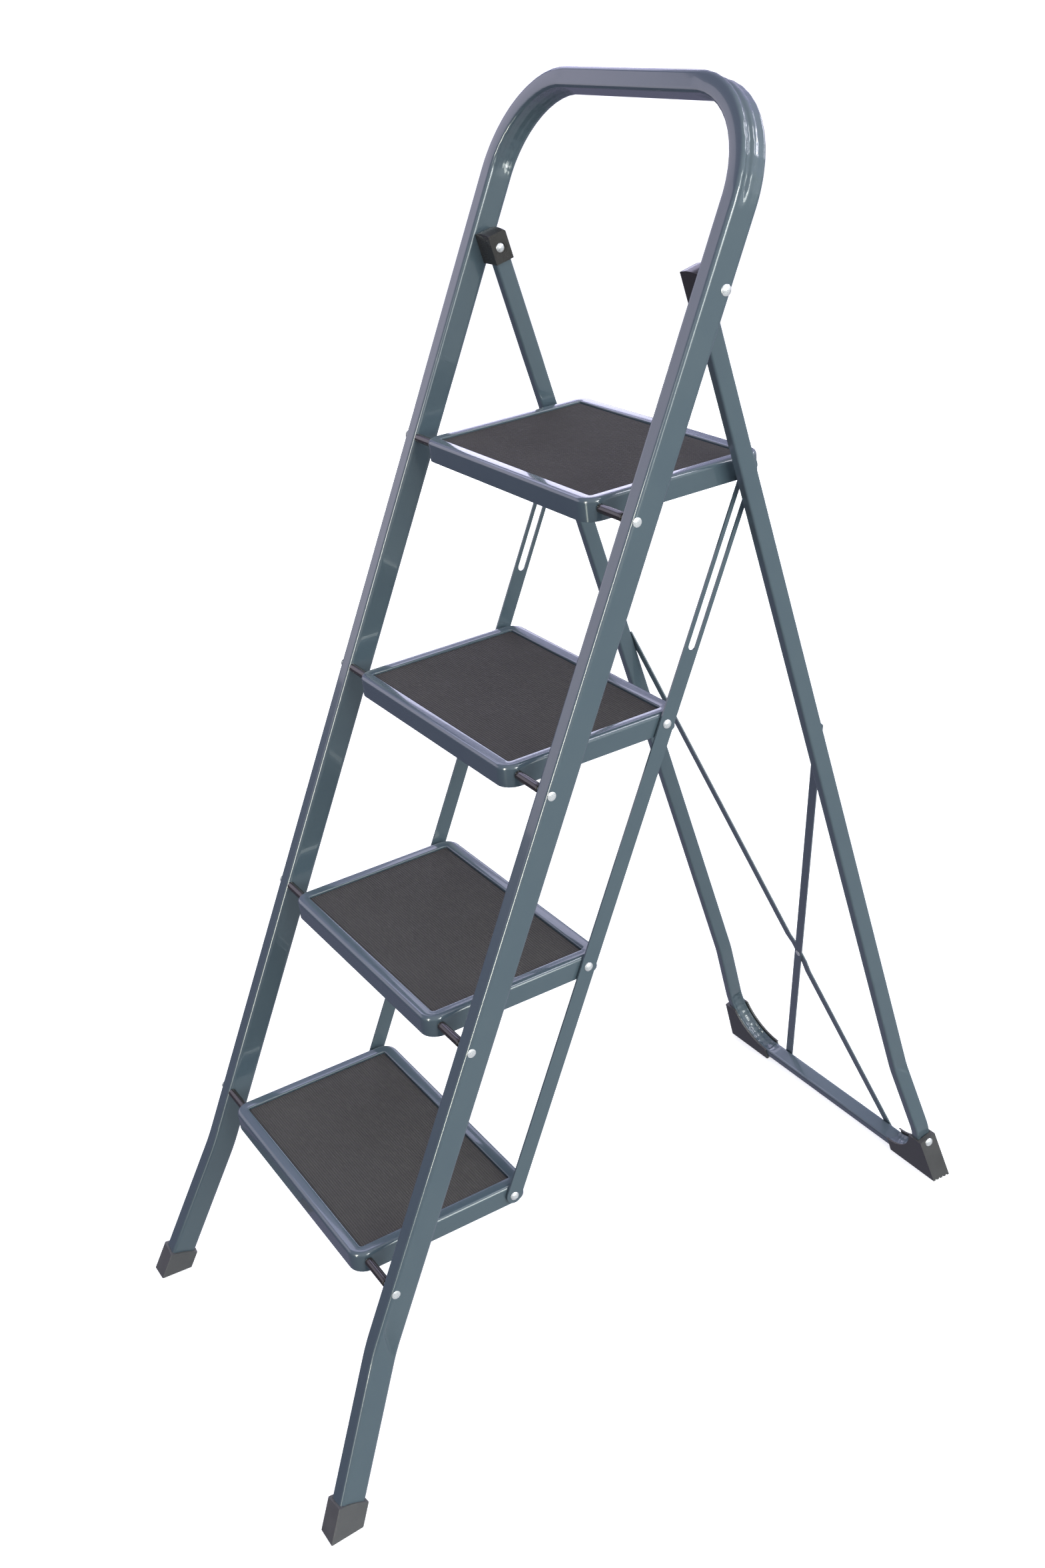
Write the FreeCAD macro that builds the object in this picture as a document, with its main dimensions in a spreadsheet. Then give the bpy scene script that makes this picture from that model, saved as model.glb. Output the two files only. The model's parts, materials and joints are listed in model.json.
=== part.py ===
import FreeCAD, Part
import os
import math
import Sketcher

# Folding four-step step ladder, millimetres.
# Frame: +Z up, climbing side faces -Y, origin on the floor under the middle of the footprint.
#
# Three working frames are used:
#   stile frame  - origin on the axle of step 1, local z along the stiles, local y square to them (rearwards)
#   leg frame    - origin on the rear frame's pivot, local z along the rear legs, local y square to them
#   step frame   - origin on each step's own axle, axes parallel to the global ones

V = FreeCAD.Vector
doc = FreeCAD.newDocument("step_ladder")
dims = doc.addObject("Spreadsheet::Sheet", "dims")

TABLE = [
    # layout
    ("stile_angle", 62.93), ("leg_angle", 12.6), ("pitch", 250.0), ("steps", 4), ("axle_height", 221.7),
    ("shift_back", -288.48),
    ("pivot_along", 954.2), ("pivot_back", 16.3),
    # front tube
    ("tube_width", 20.0), ("tube_depth", 27.0), ("tube_round", 3.8), ("tube_wall", 1.2),
    ("stile_centre", 203.5), ("front_face", 4.5), ("hoop_top", 1118.0), ("hoop_radius", 94.0),
    ("splay", 8.6), ("splay_start", 64.4), ("splay_radius", 180.0), ("front_tube_end", 231.5),
    # front caps
    ("cap_wall", 2.3), ("cap_length", 36.0), ("cap_play", 0.05), ("cap_corner", 1.2), ("cap_rise", 4.5), ("cap_arch", 72.0),
    # rear tube
    ("leg_width", 11.5), ("leg_depth", 18.0), ("leg_round", 2.2), ("leg_wall", 1.2),
    ("leg_centre", 174.2), ("leg_taper", 0.56), ("leg_top", 10.0),
    ("leg_kink", 930.0), ("leg_splay", 7.5), ("kink_radius", 60.0), ("bar_drop", 1078.6), ("corner_radius", 60.0),
    # corner shoes
    ("shoe_wall", 2.0), ("shoe_side", 2.6), ("shoe_reach", 119.5), ("shoe_lip", 2.4), ("shoe_top", 1031.0),
    ("shoe_play", 0.05), ("sole_groove", 2.0), ("sole_groove_deep", 1.4), ("sole_groove_pitch", 5.0),
    ("shoe_rivet_up", 1037.5),
    # hinge blocks
    ("block_in", 166.0), ("block_out", 193.1), ("block_up", 15.2), ("block_down", 14.6),
    ("block_front", 9.8), ("block_back", 10.8), ("block_round", 2.6), ("block_crown", 1.8), ("block_recess", 15.0),
    ("block_recess_deep", 0.5), ("block_bore", 11.6), ("block_bore_deep", 1.5),
    # axles and rivets
    ("axle_dia", 6.0), ("axle_head_dia", 8.8), ("axle_head_high", 1.3), ("sleeve_dia", 9.0), ("sleeve_bore", 6.1),
    ("fit", 0.1), ("pivot_dia", 6.0), ("pivot_head_dia", 10.2), ("pivot_head_high", 2.5),
    ("inner_head_dia", 9.4), ("inner_head_high", 2.3),
    # trays
    ("tray_half", 155.0), ("tray_front", 14.0), ("tray_back", 180.0), ("tray_top", 9.5), ("tray_bottom", 12.0),
    ("tray_corner", 17.0), ("tray_sheet", 1.3), ("tray_edge", 3.4), ("deck_top", 5.2),
    ("recess_half", 141.4), ("recess_front", 0.9), ("recess_back", 166.2), ("recess_corner", 2.5),
    ("mat_thick", 2.1), ("mat_play", 0.3),
    # links
    ("link_reach", 161.4), ("link_rise", -1.2), ("bar_width", 16.5), ("bar_thick", 2.0), ("bar_inner", 156.7),
    ("slot_width", 8.0), ("slot_low", 577.0), ("slot_high", 727.5), ("link_rivet_dia", 5.0),
    ("link_head_dia", 9.2), ("link_head_high", 2.4), ("washer_dia", 12.0),
    ("pin_dia", 7.2), ("pin_clear", 0.5), ("pin_shank", 5.0), ("pin_along", 200.5),
    # cross braces
    ("brace_width", 11.0), ("brace_thick", 1.5), ("brace_low_x", 95.7), ("brace_low_z", 1078.6),
    ("brace_high_x", 168.0), ("brace_high_z", 465.8), ("brace_step", 26.0), ("brace_rivet_head", 7.0),
    ("brace_rivet_high", 0.9), ("brace_lap", 4.0),
]
NUM = {}
for row, (name, value) in enumerate(TABLE, start=1):
    dims.set("A%d" % row, name)
    dims.set("B%d" % row, repr(value))
    dims.setAlias("B%d" % row, name)
    NUM[name] = float(value)
doc.recompute()


class Q:
    """A size that carries both its sheet expression and its present value."""

    def __init__(self, text, val):
        self.text, self.val = text, float(val)

    @staticmethod
    def of(x):
        return x if isinstance(x, Q) else Q(repr(float(x)), x)

    def __add__(self, o):
        o = Q.of(o)
        return Q("(%s + %s)" % (self.text, o.text), self.val + o.val)

    __radd__ = __add__

    def __sub__(self, o):
        o = Q.of(o)
        return Q("(%s - %s)" % (self.text, o.text), self.val - o.val)

    def __rsub__(self, o):
        return Q.of(o) - self

    def __mul__(self, o):
        o = Q.of(o)
        return Q("(%s * %s)" % (self.text, o.text), self.val * o.val)

    __rmul__ = __mul__

    def __truediv__(self, o):
        o = Q.of(o)
        return Q("(%s / %s)" % (self.text, o.text), self.val / o.val)

    def __neg__(self):
        return Q("(0 - %s)" % self.text, -self.val)


def D(name):
    return Q("dims." + name, NUM[name])


def qsin(a):
    return Q("sin(%s * 1 deg)" % a.text, math.sin(math.radians(a.val)))


def qcos(a):
    return Q("cos(%s * 1 deg)" % a.text, math.cos(math.radians(a.val)))


def qtan(a):
    return Q("tan(%s * 1 deg)" % a.text, math.tan(math.radians(a.val)))


def num(name):
    return float(dims.get(name))


# ---------------------------------------------------------------- placements of the working frames
TH = math.radians(num("stile_angle"))
PS = math.radians(num("leg_angle"))
ROT_STILE = FreeCAD.Rotation(V(1, 0, 0), num("stile_angle") - 90.0)
ROT_LEG = FreeCAD.Rotation(V(1, 0, 0), num("leg_angle"))
STEP1 = V(0, num("shift_back"), num("axle_height"))


def stile_point(along, back):
    """A point given along the stile and square to it, in the global frame."""
    return STEP1 + ROT_STILE.multVec(V(0, back, along))


PL_STILE = FreeCAD.Placement(STEP1, ROT_STILE)
PIVOT = stile_point(num("pivot_along"), num("pivot_back"))
PL_LEG = FreeCAD.Placement(PIVOT, ROT_LEG)
AXLES = [stile_point(num("pitch") * i, 0) for i in range(4)]
LINKS = [a + V(0, num("link_reach"), num("link_rise")) for a in AXLES]

SUBPARTS = []


def keep(obj, label, placement=None):
    obj.Label = label
    if placement is not None:
        obj.Placement = placement
    SUBPARTS.append(obj)
    return obj


# ---------------------------------------------------------------- sketch helpers
def plane(body, role):
    for f in body.Origin.OriginFeatures:
        if f.Role == role:
            return f
    raise RuntimeError("no plane " + role)


def new_body(name):
    return doc.addObject("PartDesign::Body", name)


def new_sketch(body, role, name):
    sk = body.newObject("Sketcher::SketchObject", name)
    sk.AttachmentSupport = [(plane(body, role), "")]
    sk.MapMode = "FlatFace"
    return sk


def bind_point(sk, geo, pos, x, y):
    """Fix a point's coordinates and bind them to the sheet."""
    x, y = Q.of(x), Q.of(y)
    i = sk.addConstraint(Sketcher.Constraint("DistanceX", -1, 1, geo, pos, x.val))
    sk.setExpression("Constraints[%d]" % i, x.text)
    i = sk.addConstraint(Sketcher.Constraint("DistanceY", -1, 1, geo, pos, y.val))
    sk.setExpression("Constraints[%d]" % i, y.text)


def path(sk, pts, closed=True):
    """Draw a chain of straight runs and arcs.

    pts is a list of (x, y) or (x, y, radius, side): with a radius, the run that starts at this point
    is an arc of that radius to the next point, its centre on the left (side +1) or right (side -1).
    """
    n = len(pts)
    runs = n if closed else n - 1
    base = sk.GeometryCount
    for k in range(runs):
        a, b = pts[k], pts[(k + 1) % n]
        ax, ay, bx, by = Q.of(a[0]).val, Q.of(a[1]).val, Q.of(b[0]).val, Q.of(b[1]).val
        if len(a) == 2:
            sk.addGeometry(Part.LineSegment(V(ax, ay, 0), V(bx, by, 0)), False)
        else:
            r, side = Q.of(a[2]).val, a[3]
            mx, my = (ax + bx) / 2, (ay + by) / 2
            dx, dy = bx - ax, by - ay
            chord = math.hypot(dx, dy)
            off = math.sqrt(max(r * r - chord * chord / 4, 0.0))
            cx, cy = mx - side * dy / chord * off, my + side * dx / chord * off
            a0, a1 = math.atan2(ay - cy, ax - cx), math.atan2(by - cy, bx - cx)
            if side < 0:
                a0, a1 = a1, a0
            if a1 < a0:
                a1 += 2 * math.pi
            sk.addGeometry(Part.ArcOfCircle(Part.Circle(V(cx, cy, 0), V(0, 0, 1), r), a0, a1), False)
    # arcs are kept anticlockwise, so one travelled clockwise starts at its far end
    ends = [(2, 1) if len(pts[k]) > 2 and pts[k][3] < 0 else (1, 2) for k in range(runs)]
    for k in range(runs if closed else runs - 1):
        j = (k + 1) % runs
        sk.addConstraint(Sketcher.Constraint("Coincident", base + k, ends[k][1], base + j, ends[j][0]))
    for k in range(runs):
        bind_point(sk, base + k, ends[k][0], pts[k][0], pts[k][1])
        if len(pts[k]) > 2:
            r = Q.of(pts[k][2])
            (x0, y0), (x1, y1) = [(Q.of(q[0]), Q.of(q[1])) for q in (pts[k], pts[(k + 1) % n])]
            if math.hypot(x1.val - x0.val, y1.val - y0.val) > 2 * r.val - 1e-6:
                # a half circle on a level or upright chord: its centre is held level with the ends
                level = abs(y1.val - y0.val) < abs(x1.val - x0.val)
                mid = y0 if level else x0
                i = sk.addConstraint(Sketcher.Constraint("DistanceY" if level else "DistanceX", -1, 1, base + k, 3,
                                                         mid.val))
                sk.setExpression("Constraints[%d]" % i, mid.text)
            else:
                i = sk.addConstraint(Sketcher.Constraint("Radius", base + k, r.val))
                sk.setExpression("Constraints[%d]" % i, r.text)
    if not closed:
        bind_point(sk, base + runs - 1, ends[-1][1], pts[-1][0], pts[-1][1])
    return list(range(base, base + runs))


def round_rect(sk, x0, y0, x1, y1, r):
    x0, y0, x1, y1, r = (Q.of(v) for v in (x0, y0, x1, y1, r))
    path(sk, [
        (x0 + r, y0), (x1 - r, y0, r, 1),
        (x1, y0 + r), (x1, y1 - r, r, 1),
        (x1 - r, y1), (x0 + r, y1, r, 1),
        (x0, y1 - r), (x0, y0 + r, r, 1),
    ])


def ring(sk, cx, cy, r):
    r = Q.of(r)
    g = sk.addGeometry(Part.Circle(V(Q.of(cx).val, Q.of(cy).val, 0), V(0, 0, 1), r.val), False)
    bind_point(sk, g, 3, cx, cy)
    i = sk.addConstraint(Sketcher.Constraint("Radius", g, r.val))
    sk.setExpression("Constraints[%d]" % i, r.text)
    return g


def pad(body, sk, length, name, side="Symmetric", back=False):
    f = body.newObject("PartDesign::Pad", name)
    f.Profile = sk
    f.SideType = side
    f.Reversed = back
    length = Q.of(length)
    f.Length = length.val
    f.setExpression("Length", length.text)
    doc.recompute()
    return f


def cut(body, sk, length, name, side="Symmetric", back=False, through=False):
    before = body.Shape.Volume
    f = body.newObject("PartDesign::Pocket", name)
    f.Profile = sk
    f.SideType = side
    f.Reversed = back
    if through:
        f.Type = "ThroughAll"
    else:
        length = Q.of(length)
        f.Length = length.val
        f.setExpression("Length", length.text)
    doc.recompute()
    if not body.Shape.Volume < before - 1e-6:
        raise RuntimeError("pocket %s cut nothing" % name)
    return f


def mirror(body, feats, name):
    before = body.Shape.Volume
    m = body.newObject("PartDesign::Mirrored", name)
    m.Originals = feats
    m.MirrorPlane = (plane(body, "YZ_Plane"), [""])
    body.Tip = m
    doc.recompute()
    if not body.Shape.Volume > before * 1.2:
        raise RuntimeError("mirror %s added nothing" % name)
    return m


# ---------------------------------------------------------------- revolved fasteners
def fastener(name, axis_pts, label, placement):
    """A turned piece: (x along the axis, radius) outline revolved about local X."""
    body = new_body(name)
    sk = new_sketch(body, "XY_Plane", name + "_outline")
    path(sk, axis_pts)
    f = body.newObject("PartDesign::Revolution", name + "_turned")
    f.Profile = sk
    f.ReferenceAxis = (sk, ["H_Axis"])
    f.Angle = 360.0
    doc.recompute()
    return keep(body, label, placement) if label else body


def dome(x_seat, r_head, high, sign):
    """Outline points of a domed head standing on x_seat: returns (rim point, arc radius, crown)."""
    x_seat, r_head, high = Q.of(x_seat), Q.of(r_head), Q.of(high)
    rad = (r_head * r_head + high * high) / (2 * high)
    return x_seat, r_head, rad, x_seat + sign * high


def group(label, shapes):
    """Identical pieces kept as one group of separate solids."""
    comp = doc.addObject("Part::Compound", label + "_set")
    comp.Links = shapes
    doc.recompute()
    return keep(comp, label)


# ================================================================ FRONT FRAME
ft = new_body("front_tube")
sk = new_sketch(ft, "YZ_Plane", "front_tube_section")
hc = D("tube_depth") / 2 - D("front_face")
half_d, half_w = D("tube_depth") / 2, D("tube_width") / 2
round_rect(sk, hc - half_d, D("hoop_top") - half_w, hc + half_d, D("hoop_top") + half_w, D("tube_round"))
round_rect(sk, hc - half_d + D("tube_wall"), D("hoop_top") - half_w + D("tube_wall"),
           hc + half_d - D("tube_wall"), D("hoop_top") + half_w - D("tube_wall"), D("tube_round") - D("tube_wall"))
spine = new_sketch(ft, "XZ_Plane", "front_tube_line")
R, C = D("hoop_radius"), D("stile_centre")
sp = D("splay")
tl = D("splay_radius") * qtan(sp / 2)
z_knee = -D("splay_start")
x4, z4 = C + tl * qsin(sp), z_knee - tl * qcos(sp)
x5, z5 = C + (D("front_tube_end") - D("splay_start")) * qtan(sp), -D("front_tube_end")
# the sweep's line lies in the plane of the section's middle; the section carries the depth offset itself
sp_edges = path(spine, [(0, D("hoop_top")), (C - R, D("hoop_top"), R, -1), (C, D("hoop_top") - R),
                        (C, z_knee + tl, D("splay_radius"), 1), (x4, z4), (x5, z5)], closed=False)
pipe = ft.newObject("PartDesign::AdditivePipe", "front_tube_sweep")
pipe.Profile = sk
pipe.Spine = (spine, ["Edge%d" % (i + 1) for i in range(5)])
pipe.Mode = "Standard"
doc.recompute()
mirror(ft, [pipe], "front_tube_mirror")
# holes for the four axles and for the rear frame's pivot, through both stiles
hs = new_sketch(ft, "YZ_Plane", "front_tube_holes")
for i in range(4):
    ring(hs, 0, D("pitch") * i, D("axle_dia") / 2 + 0.05)
ring(hs, D("pivot_back"), D("pivot_along"), D("pivot_dia") / 2 + 0.05)
cut(ft, hs, 0, "front_tube_drill", through=True)
keep(ft, "front_frame_tube", PL_STILE)
front_pipe_volume = ft.Shape.Volume


def front_cap(side):
    tag = "right" if side > 0 else "left"
    body = new_body("cap_" + tag)
    # local frame of the splayed leg: z up the leg, x outwards
    w, d = D("tube_width") / 2 + D("cap_wall"), D("tube_depth") / 2 + D("cap_wall")
    sk = new_sketch(body, "XY_Plane", "cap_%s_outline" % tag)
    round_rect(sk, -w, hc - d, w, hc + d, D("cap_corner"))
    pad(body, sk, 100, "cap_%s_block" % tag)
    # the rim is arched and climbs towards the back; the sole is cut level with the floor afterwards
    top = new_sketch(body, "YZ_Plane", "cap_%s_top" % tag)
    rim = D("cap_length") / 2 - 4
    path(top, [(-60, rim), (hc - d, rim, D("cap_arch"), -1), (hc + d, rim + D("cap_rise")), (60, rim + D("cap_rise")),
               (60, 90), (-60, 90)])
    cut(body, top, 120, "cap_%s_trim" % tag)
    # socket for the tube: closed at the tube's end
    socket = new_sketch(body, "XY_Plane", "cap_%s_socket" % tag)
    e = D("cap_play")
    round_rect(socket, -half_w - e, hc - half_d - e, half_w + e, hc + half_d + e, D("tube_round") + e)
    cut(body, socket, 60, "cap_%s_bore" % tag, side="One side", back=True)
    return body


CAPS = []
for side in (1, -1):
    body = front_cap(side)
    leg_x, leg_z = x5.val, -NUM["front_tube_end"]
    tilt = FreeCAD.Rotation(V(0, 1, 0), -side * NUM["splay"])
    local = FreeCAD.Placement(V(side * leg_x, 0, leg_z), tilt)
    place = PL_STILE.multiply(local)
    body.Placement = place
    floor = doc.addObject("Part::Box", "cap_floor_%s" % ("right" if side > 0 else "left"))
    floor.Length, floor.Width, floor.Height = 120, 160, 60
    centre = place.multVec(V(0, 0, 0))
    floor.Placement = FreeCAD.Placement(V(centre.x - 60, centre.y - 80, -60), FreeCAD.Rotation())
    cap = doc.addObject("Part::Cut", "cap_cut_%s" % ("right" if side > 0 else "left"))
    cap.Base, cap.Tool = body, floor
    doc.recompute()
    keep(cap, "foot_cap_right" if side > 0 else "foot_cap_left")

# ---------------------------------------------------------------- axles, sleeves and frame pivots
out = D("stile_centre") + half_w
r = D("axle_dia") / 2
xs, rh, rad, crown = dome(out, D("axle_head_dia") / 2, D("axle_head_high"), 1)
AX = [(-crown, 0), (crown, 0, rad, 1), (xs, rh), (xs, r), (-xs, r), (-xs, rh, rad, 1)]
for i in range(4):
    fastener("axle%d" % (i + 1), AX, "step_axle_%d" % (i + 1), FreeCAD.Placement(AXLES[i], FreeCAD.Rotation()))

sleeves = []
for i in range(4):
    for side in (1, -1):
        tag = "%d%s" % (i + 1, "r" if side > 0 else "l")
        a, b = D("tray_half") + 0.6, D("stile_centre") - half_w
        pts = [(side * a, D("sleeve_bore") / 2), (side * b, D("sleeve_bore") / 2),
               (side * b, D("sleeve_dia") / 2), (side * a, D("sleeve_dia") / 2)]
        s_ = fastener("sleeve" + tag, pts, None, None)
        s_.Placement = FreeCAD.Placement(AXLES[i], FreeCAD.Rotation())
        sleeves.append(s_)
group("axle_sleeves", sleeves)

pivots = []
for side in (1, -1):
    r = D("pivot_dia") / 2
    seat = D("block_in") + D("block_bore_deep")
    ox, orh, orad, ocrown = dome(out, D("pivot_head_dia") / 2, D("pivot_head_high"), 1)
    ix, irh, irad, icrown = dome(seat - 0.1, D("inner_head_dia") / 2, D("inner_head_high"), -1)
    if side > 0:
        pts = [(icrown, 0), (ocrown, 0, orad, 1), (ox, orh), (ox, r), (ix, r), (ix, irh, irad, 1)]
    else:
        pts = [(-ocrown, 0), (-icrown, 0, irad, 1), (-ix, irh), (-ix, r), (-ox, r), (-ox, orh, orad, 1)]
    p = fastener("frame_pivot_%s" % ("r" if side > 0 else "l"), pts, None, None)
    p.Placement = FreeCAD.Placement(PIVOT, FreeCAD.Rotation())
    pivots.append(p)
group("frame_pivot_rivets", pivots)

# ================================================================ REAR FRAME (leg frame: z up the leg)
rt = new_body("rear_tube")
sk = new_sketch(rt, "YZ_Plane", "rear_tube_section")
ld, lw = D("leg_depth") / 2, D("leg_width") / 2
round_rect(sk, -ld, -D("bar_drop") - lw, ld, -D("bar_drop") + lw, D("leg_round"))
w_ = D("leg_wall")
round_rect(sk, -ld + w_, -D("bar_drop") - lw + w_, ld - w_, -D("bar_drop") + lw - w_, D("leg_round") - w_)
spine = new_sketch(rt, "XZ_Plane", "rear_tube_line")
taper, flare = D("leg_taper"), D("leg_splay")
kx = D("leg_centre") - D("leg_kink") * qtan(taper)      # the kink, on the leg's centreline
kz = -D("leg_kink")
turn = taper + flare                                     # the leg leans inwards, then outwards
kt = D("kink_radius") * qtan(turn / 2)
cx_ = kx + (D("bar_drop") - D("leg_kink")) * qtan(flare)  # corner where leg and cross bar lines meet
cz_ = -D("bar_drop")
ct = D("corner_radius") * qtan((90 + flare) / 2)
p_bar = (cx_ - ct, cz_)
p_leg = (cx_ - ct * qsin(flare), cz_ + ct * qcos(flare))
p_k1 = (kx + kt * qsin(flare), kz - kt * qcos(flare))
p_k2 = (kx + kt * qsin(taper), kz + kt * qcos(taper))
p_top = (D("leg_centre") + D("leg_top") * qtan(taper), D("leg_top"))
path(spine, [(0, cz_), (p_bar[0], p_bar[1], D("corner_radius"), 1), p_leg,
             (p_k1[0], p_k1[1], D("kink_radius"), -1), p_k2, p_top], closed=False)
pipe = rt.newObject("PartDesign::AdditivePipe", "rear_tube_sweep")
pipe.Profile = sk
pipe.Spine = (spine, ["Edge%d" % (i + 1) for i in range(5)])
pipe.Mode = "Standard"
doc.recompute()
mirror(rt, [pipe], "rear_tube_mirror")
hs = new_sketch(rt, "YZ_Plane", "rear_tube_holes")
ring(hs, 0, 0, D("pivot_dia") / 2 + D("fit"))
cut(rt, hs, 0, "rear_tube_drill", through=True)
# single-wall holes: the slot studs in the inner walls, the shoe rivets in the outer walls
for side in (1, -1):
    tag = "right" if side > 0 else "left"
    st = new_sketch(rt, "YZ_Plane", "slot_stud_hole_" + tag)
    ring(st, 0, -D("pin_along"), D("pin_shank") / 2 + 0.1)
    at = D("leg_centre") - D("pin_along") * qtan(taper)
    st.AttachmentOffset = FreeCAD.Placement(V(0, 0, side * at.val), FreeCAD.Rotation())
    st.setExpression("AttachmentOffset.Base.z", (side * at).text)
    cut(rt, st, 12, "slot_stud_drill_" + tag, side="One side", back=side < 0)
    rv = new_sketch(rt, "YZ_Plane", "shoe_rivet_hole_" + tag)
    ring(rv, 0, -D("shoe_rivet_up") + (lw - D("leg_wall") / 2) * qsin(flare), 2.65)
    at = kx + (D("shoe_rivet_up") - D("leg_kink")) * qtan(flare)
    rv.AttachmentOffset = FreeCAD.Placement(V(0, 0, side * at.val), FreeCAD.Rotation())
    rv.setExpression("AttachmentOffset.Base.z", (side * at).text)
    cut(rt, rv, 12, "shoe_rivet_drill_" + tag, side="One side", back=side > 0)
# brace rivet holes, in the rear walls
bv = new_sketch(rt, "XZ_Plane", "brace_rivet_holes")
for m in (1, -1):
    ring(bv, m * D("brace_low_x"), -D("brace_low_z"), 2.1)
    ring(bv, m * D("brace_high_x"), -D("brace_high_z"), 2.1)
cut(rt, bv, 14, "brace_rivet_drill", side="One side")
keep(rt, "rear_frame_tube", PL_LEG)


def leg_x(down):
    """Centre of the rear leg at a distance below the pivot (numeric)."""
    k = NUM["leg_kink"]
    if down <= k:
        return NUM["leg_centre"] - down * math.tan(math.radians(NUM["leg_taper"]))
    return kx.val + (down - k) * math.tan(math.radians(NUM["leg_splay"]))


# ---------------------------------------------------------------- hinge blocks
def hinge_block(side):
    tag = "right" if side > 0 else "left"
    body = new_body("block_" + tag)
    # seen from the front: square sides and a crowned top; local x runs from the inner face outwards
    sk = new_sketch(body, "XZ_Plane", "block_%s_front" % tag)
    f_, b_, up, dn, rr = D("block_front"), D("block_back"), D("block_up"), D("block_down"), D("block_round")
    wide, crown = D("block_out") - D("block_in"), D("block_crown")
    arch = (wide * wide / 4 + crown * crown) / (2 * crown)
    if side > 0:
        path(sk, [(0, -dn), (wide, -dn), (wide, up, arch, 1), (0, up)])
    else:
        path(sk, [(-wide, -dn), (0, -dn), (0, up, arch, 1), (-wide, up)])
    p = body.newObject("PartDesign::Pad", "block_%s_block" % tag)
    p.Profile = sk
    p.SideType = "Two sides"
    p.Type2 = "Length"
    p.Length, p.Length2 = NUM["block_front"], NUM["block_back"]
    p.setExpression("Length", "dims.block_front")
    p.setExpression("Length2", "dims.block_back")
    doc.recompute()
    bb = p.Shape.BoundBox
    if abs(bb.YMax - NUM["block_back"]) > 1e-3 or abs(bb.YMin + NUM["block_front"]) > 1e-3:
        raise RuntimeError("hinge block is the wrong way round")
    edges = []
    for n, e in enumerate(p.Shape.Edges, start=1):
        eb = e.BoundBox
        if eb.YMin > NUM["block_back"] - 1e-3 and eb.ZMin > NUM["block_up"] - 0.1:
            edges.append("Edge%d" % n)
    f = body.newObject("PartDesign::Fillet", "block_%s_round" % tag)
    f.Base = (p, edges)
    f.Radius = NUM["block_round"]
    f.setExpression("Radius", "dims.block_round")
    doc.recompute()
    tube = new_sketch(body, "XY_Plane", "block_%s_socket" % tag)
    c0 = D("leg_centre") - D("block_in")
    e = 0.05
    round_rect(tube, side * c0 - lw - e - 0.12, -ld - e, side * c0 + lw + e + 0.12, ld + e, D("leg_round"))
    cut(body, tube, D("leg_top") + 0.1, "block_%s_bore_up" % tag, side="One side", back=True)
    tube2 = new_sketch(body, "XY_Plane", "block_%s_socket_low" % tag)
    round_rect(tube2, side * c0 - lw - e - 0.2, -ld - e, side * c0 + lw + e + 0.2, ld + e, D("leg_round"))
    cut(body, tube2, 40, "block_%s_bore_down" % tag, side="One side", back=False)
    hole = new_sketch(body, "YZ_Plane", "block_%s_hole" % tag)
    ring(hole, 0, 0, D("pivot_dia") / 2 + D("fit"))
    cut(body, hole, 0, "block_%s_drill" % tag, through=True)
    rec = new_sketch(body, "YZ_Plane", "block_%s_recess" % tag)
    ring(rec, 0, 0, D("block_recess") / 2)
    cut(body, rec, D("block_recess_deep") * 2, "block_%s_counterbore" % tag)
    bore = new_sketch(body, "YZ_Plane", "block_%s_head_bore" % tag)
    ring(bore, 0, 0, D("block_bore") / 2)
    cut(body, bore, D("block_bore_deep") * 2, "block_%s_head_bore_cut" % tag)
    body.Label = "block_body_" + tag
    place = PL_LEG.multiply(FreeCAD.Placement(V(side * NUM["block_in"], 0, 0), FreeCAD.Rotation()))
    keep(body, "hinge_block_" + tag, place)


hinge_block(1)
hinge_block(-1)


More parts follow.
